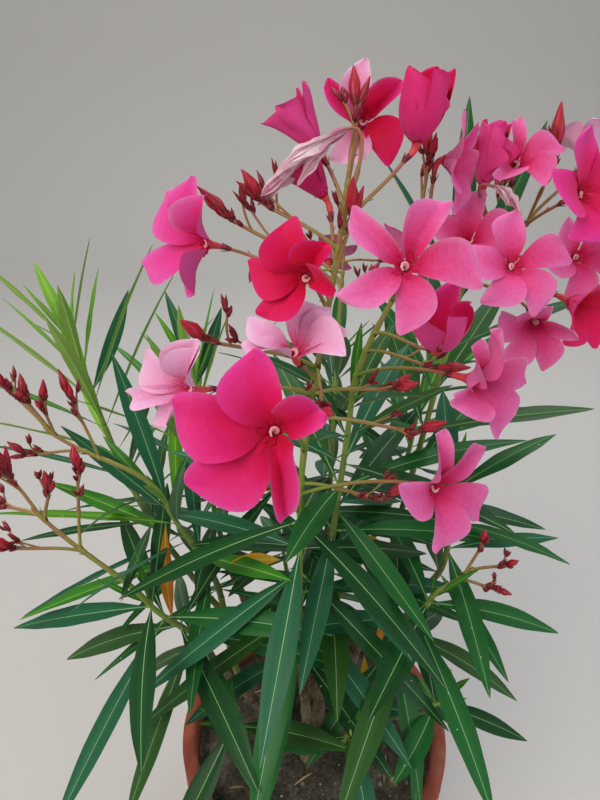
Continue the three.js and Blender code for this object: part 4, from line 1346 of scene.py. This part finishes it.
def buildTrusses():
    finishes = petalFinishes()
    petals, buds, twigs = newPart(), newPart(), newPart()
    looks = dice(909)
    s = np.linspace(0, 1, 40)
    for name, row in shoots.items():
        kinds = stems["steps"] + (s[:-1] * stems["shootSteps"]).astype(int)
        knots = 1 + 0.12 * np.exp(-(((s * row["whorls"]) % 1 - 0.5) / 0.08) ** 2)
        radii = mix(bark["shootRadius"], bark["shootTip"], s) * knots
        addTube(twigs, spotsOn(limbLines["shoot_" + name], s), radii, kinds, stems["sides"])
    for order, (name, truss) in enumerate(trusses.items()):
        roll = dice(300 + order)
        carrier = limbLines["shoot_" + truss["shoot"]]
        stem = growOn(carrier, np.array(truss["top"], float))
        kinds = np.clip(s[:-1] * 5.5, 0, 4).astype(int)
        swell = 1 + 0.05 * np.sin(s * 31 + order) + 0.04 * np.sin(s * 73)
        radii = mix(blossom["trussRadius"], blossom["trussTip"], s) * swell
        addTube(twigs, spotsOn(stem, s), radii, kinds, stems["sides"])
        for row in truss["blooms"]:
            addBloom(petals, twigs, stem, carrier[-1], row, looks)
        for row in truss["buds"]:
            isRipe = name in ("front", "middle", "right")
            addCluster(buds, twigs, stem, carrier[-1], row, isRipe, roll, looks)
        if "spent" in truss:
            addSpent(petals, twigs, stem, carrier[-1], truss["spent"], looks)
    meshPiece("stems", twigs, stemFinishes(), sharp=70)
    names = ["blossom_" + name for name in trusses]
    meshPiece("petals", petals, finishes, names, 62)
    meshPiece("buds", buds, finishes, sharp=70)


# A short side twig with two or three buds that are still small.
def addSprig(twigs, buds, line, share, size, roll):
    start = spotOn(line, share)
    way = wayOn(line, share)
    out = stray(way, roll, -10, 50, 0.9, 0.35)
    end = start + out * roll(9, 17) * size
    middle = start + unit(way * 0.4 + out) * roll(4, 7) * size
    addTube(twigs, spotsOn([start - way * 0.6, middle, end], np.linspace(0, 1, 7)), 0.75, 4, 7)
    for i in range(3):
        heading = stray(out, roll, -10, 60, 0.5)
        addBud(buds, end - out * roll(0, 3), heading, roll(6, 12) * size, roll(1.9, 3.0), roll)


# A small swelling and a bract where a branch leaves the truss.
def addKnot(part, stem, at, line, low, roll):
    spot = spotOn(stem, at)
    way = wayOn(stem, at)
    radius = mix(blossom["trussRadius"], blossom["trussTip"], at)
    s = np.linspace(-1, 1, 7)
    addTube(part, [spot + way * 3.2 * q for q in s], radius * (1 + 0.28 * np.cos(s * 1.5) ** 2),
            low, stems["sides"])
    out = unit(wayOn(line, 0) - way * np.dot(wayOn(line, 0), way))
    addBract(part, spot + out * radius - way * 1.5, way, out, roll(4, 7))


# A spent bloom: limp, twisted petals, faded nearly white, hanging from their stalk.
def addSpent(petals, twigs, stem, foot, row, roll):
    end = placeFrom(foot, row)
    outward = compass(row["heading"], -20)
    addBranch(twigs, branchLine(spotOn(stem, row["at"]), end, outward), 3, 5, 1.1, 0.9)
    s = np.linspace(0.02, 0.95, 16)
    for swing, drop, grown in ((-7, -40, 1.0), (6, -37, 0.88), (0, -32, 0.7), (4, -49, 0.6)):
        direction = compass(row["heading"] + swing, drop)
        fall = direction * row["length"] * grown
        spots = spotsOn([end - outward * 1.5, end + fall * 0.5 + up * 6, end + fall], s)
        sides, deep = framesAlong(spots, acrossOf(direction))
        twist = (roll(2.2, 4.4) * s + roll(0, 3))[:, None]
        wide = sides * np.cos(twist) + deep * np.sin(twist)
        thin = deep * np.cos(twist) - sides * np.sin(twist)
        half = profile([(0, 0.3), (0.2, 0.7), (0.5, 1), (0.8, 0.8), (1, 0.2)], s)
        half = (half * (2.1 + row["length"] * 0.048) * grown * (1 + 0.22 * np.sin(s * 23 + swing)))
        half = half[:, None]
        x = np.array([-1, -0.6, -0.2, 0.2, 0.6, 1, 0.6, 0.2, -0.2, -0.6])
        z = np.array([0, 1, -0.6, 0.9, -0.8, 0, -1.1, 0.6, -0.9, 0.7]) * 1.1
        rings = ringsOf(spots, wide, thin, half * x, half * 0.3 * z - 0.1 * (z < 0))
        streaks = np.array([roll(3, blossom["steps"] - 0.1) for _ in x])
        drift = np.array([roll(-1.5, 1.5) for _ in s[:-1]])
        kinds = streaks + (drift - 4 * np.exp(-s[:-1] * 9))[:, None]
        kinds = petalSlots["spent"] + np.clip(kinds, 1, blossom["steps"] - 1).astype(int)
        addLoft(petals, rings, kinds, None, end + fall)


# Camera, light and floor

studio = {
    "camera": (-15, -387, 866), "pitch": 30, "lens": 27, "sensor": 36,
    "floor": "#c9c5bf", "sky": "#e8eef4", "skyStrength": 0.5,
}

softboxes = [  # name, place in metres, aim, width, watts, colour
    ("key", (-1.3, -1.5, 2.5), (0, 0, 0.5), 1.8, 44, "#fff6ea"),
    ("fill", (1.9, -1.2, 1.4), (0, 0, 0.5), 1.6, 11, "#eaf2ff"),
    ("top", (0.2, 1.2, 2.6), (0, 0, 0.6), 1.6, 28, "#f4f8ff"),
]


def buildStudio():
    scene = bpy.context.scene
    camera = bpy.data.cameras.new("photo_camera")
    camera.lens = studio["lens"]
    camera.sensor_width = studio["sensor"]
    camera.clip_start = 0.02
    eye = bpy.data.objects.new("photo_camera", camera)
    eye.location = [c * mm for c in studio["camera"]]
    eye.rotation_euler = (math.radians(90 - studio["pitch"]), 0, 0)
    scene.collection.objects.link(eye)
    scene.camera = eye
    for name, place, aim, width, watts, colour in softboxes:
        light = bpy.data.lights.new(name, "AREA")
        light.shape = "DISK"
        light.size = width
        light.energy = watts
        light.color = linear(colour)[:3]
        lamp = bpy.data.objects.new(name, light)
        lamp.location = place
        lamp.rotation_euler = (Vector(aim) - Vector(place)).to_track_quat("-Z", "Y").to_euler()
        scene.collection.objects.link(lamp)
    world = bpy.data.worlds.new("soft_sky")
    world.use_nodes = True
    sky = world.node_tree.nodes["Background"]
    sky.inputs["Color"].default_value = linear(studio["sky"])
    sky.inputs["Strength"].default_value = studio["skyStrength"]
    scene.world = world
    scene.view_settings.view_transform = "Standard"
    sweep = [(-3, 0), (-1, 0), (1, 0), (2.2, 0)]
    sweep += [(2.2 + math.sin(a) * 0.9, 0.9 - math.cos(a) * 0.9) for a in np.linspace(0.2, 1.57, 8)]
    sweep += [(3.1, 3.2)]
    spots = [(x, y, z) for y, z in sweep for x in (-4, 4)]
    faces = [(2 * i, 2 * i + 1, 2 * i + 3, 2 * i + 2) for i in range(len(sweep) - 1)]
    mesh = bpy.data.meshes.new("studio_floor")
    mesh.from_pydata(spots, [], faces)
    mesh.shade_smooth()
    mesh.materials.append(plainFinish("studio_paper", studio["floor"], {"Roughness": 0.9}))
    floor = bpy.data.objects.new("studio_floor", mesh)
    scene.collection.objects.link(floor)


buildStudio()
buildPot()
buildSoil()
buildLitter()
print("pot and soil done")
buildLimbs()
for shootName, shootRow in shoots.items():
    limbLines["shoot_" + shootName] = growOn(limbLines[shootName], np.array(shootRow["tip"], float))
print("canes and boughs done")
buildTrusses()
print("stems and blossom done")
buildLeaves()
print("leaves done")
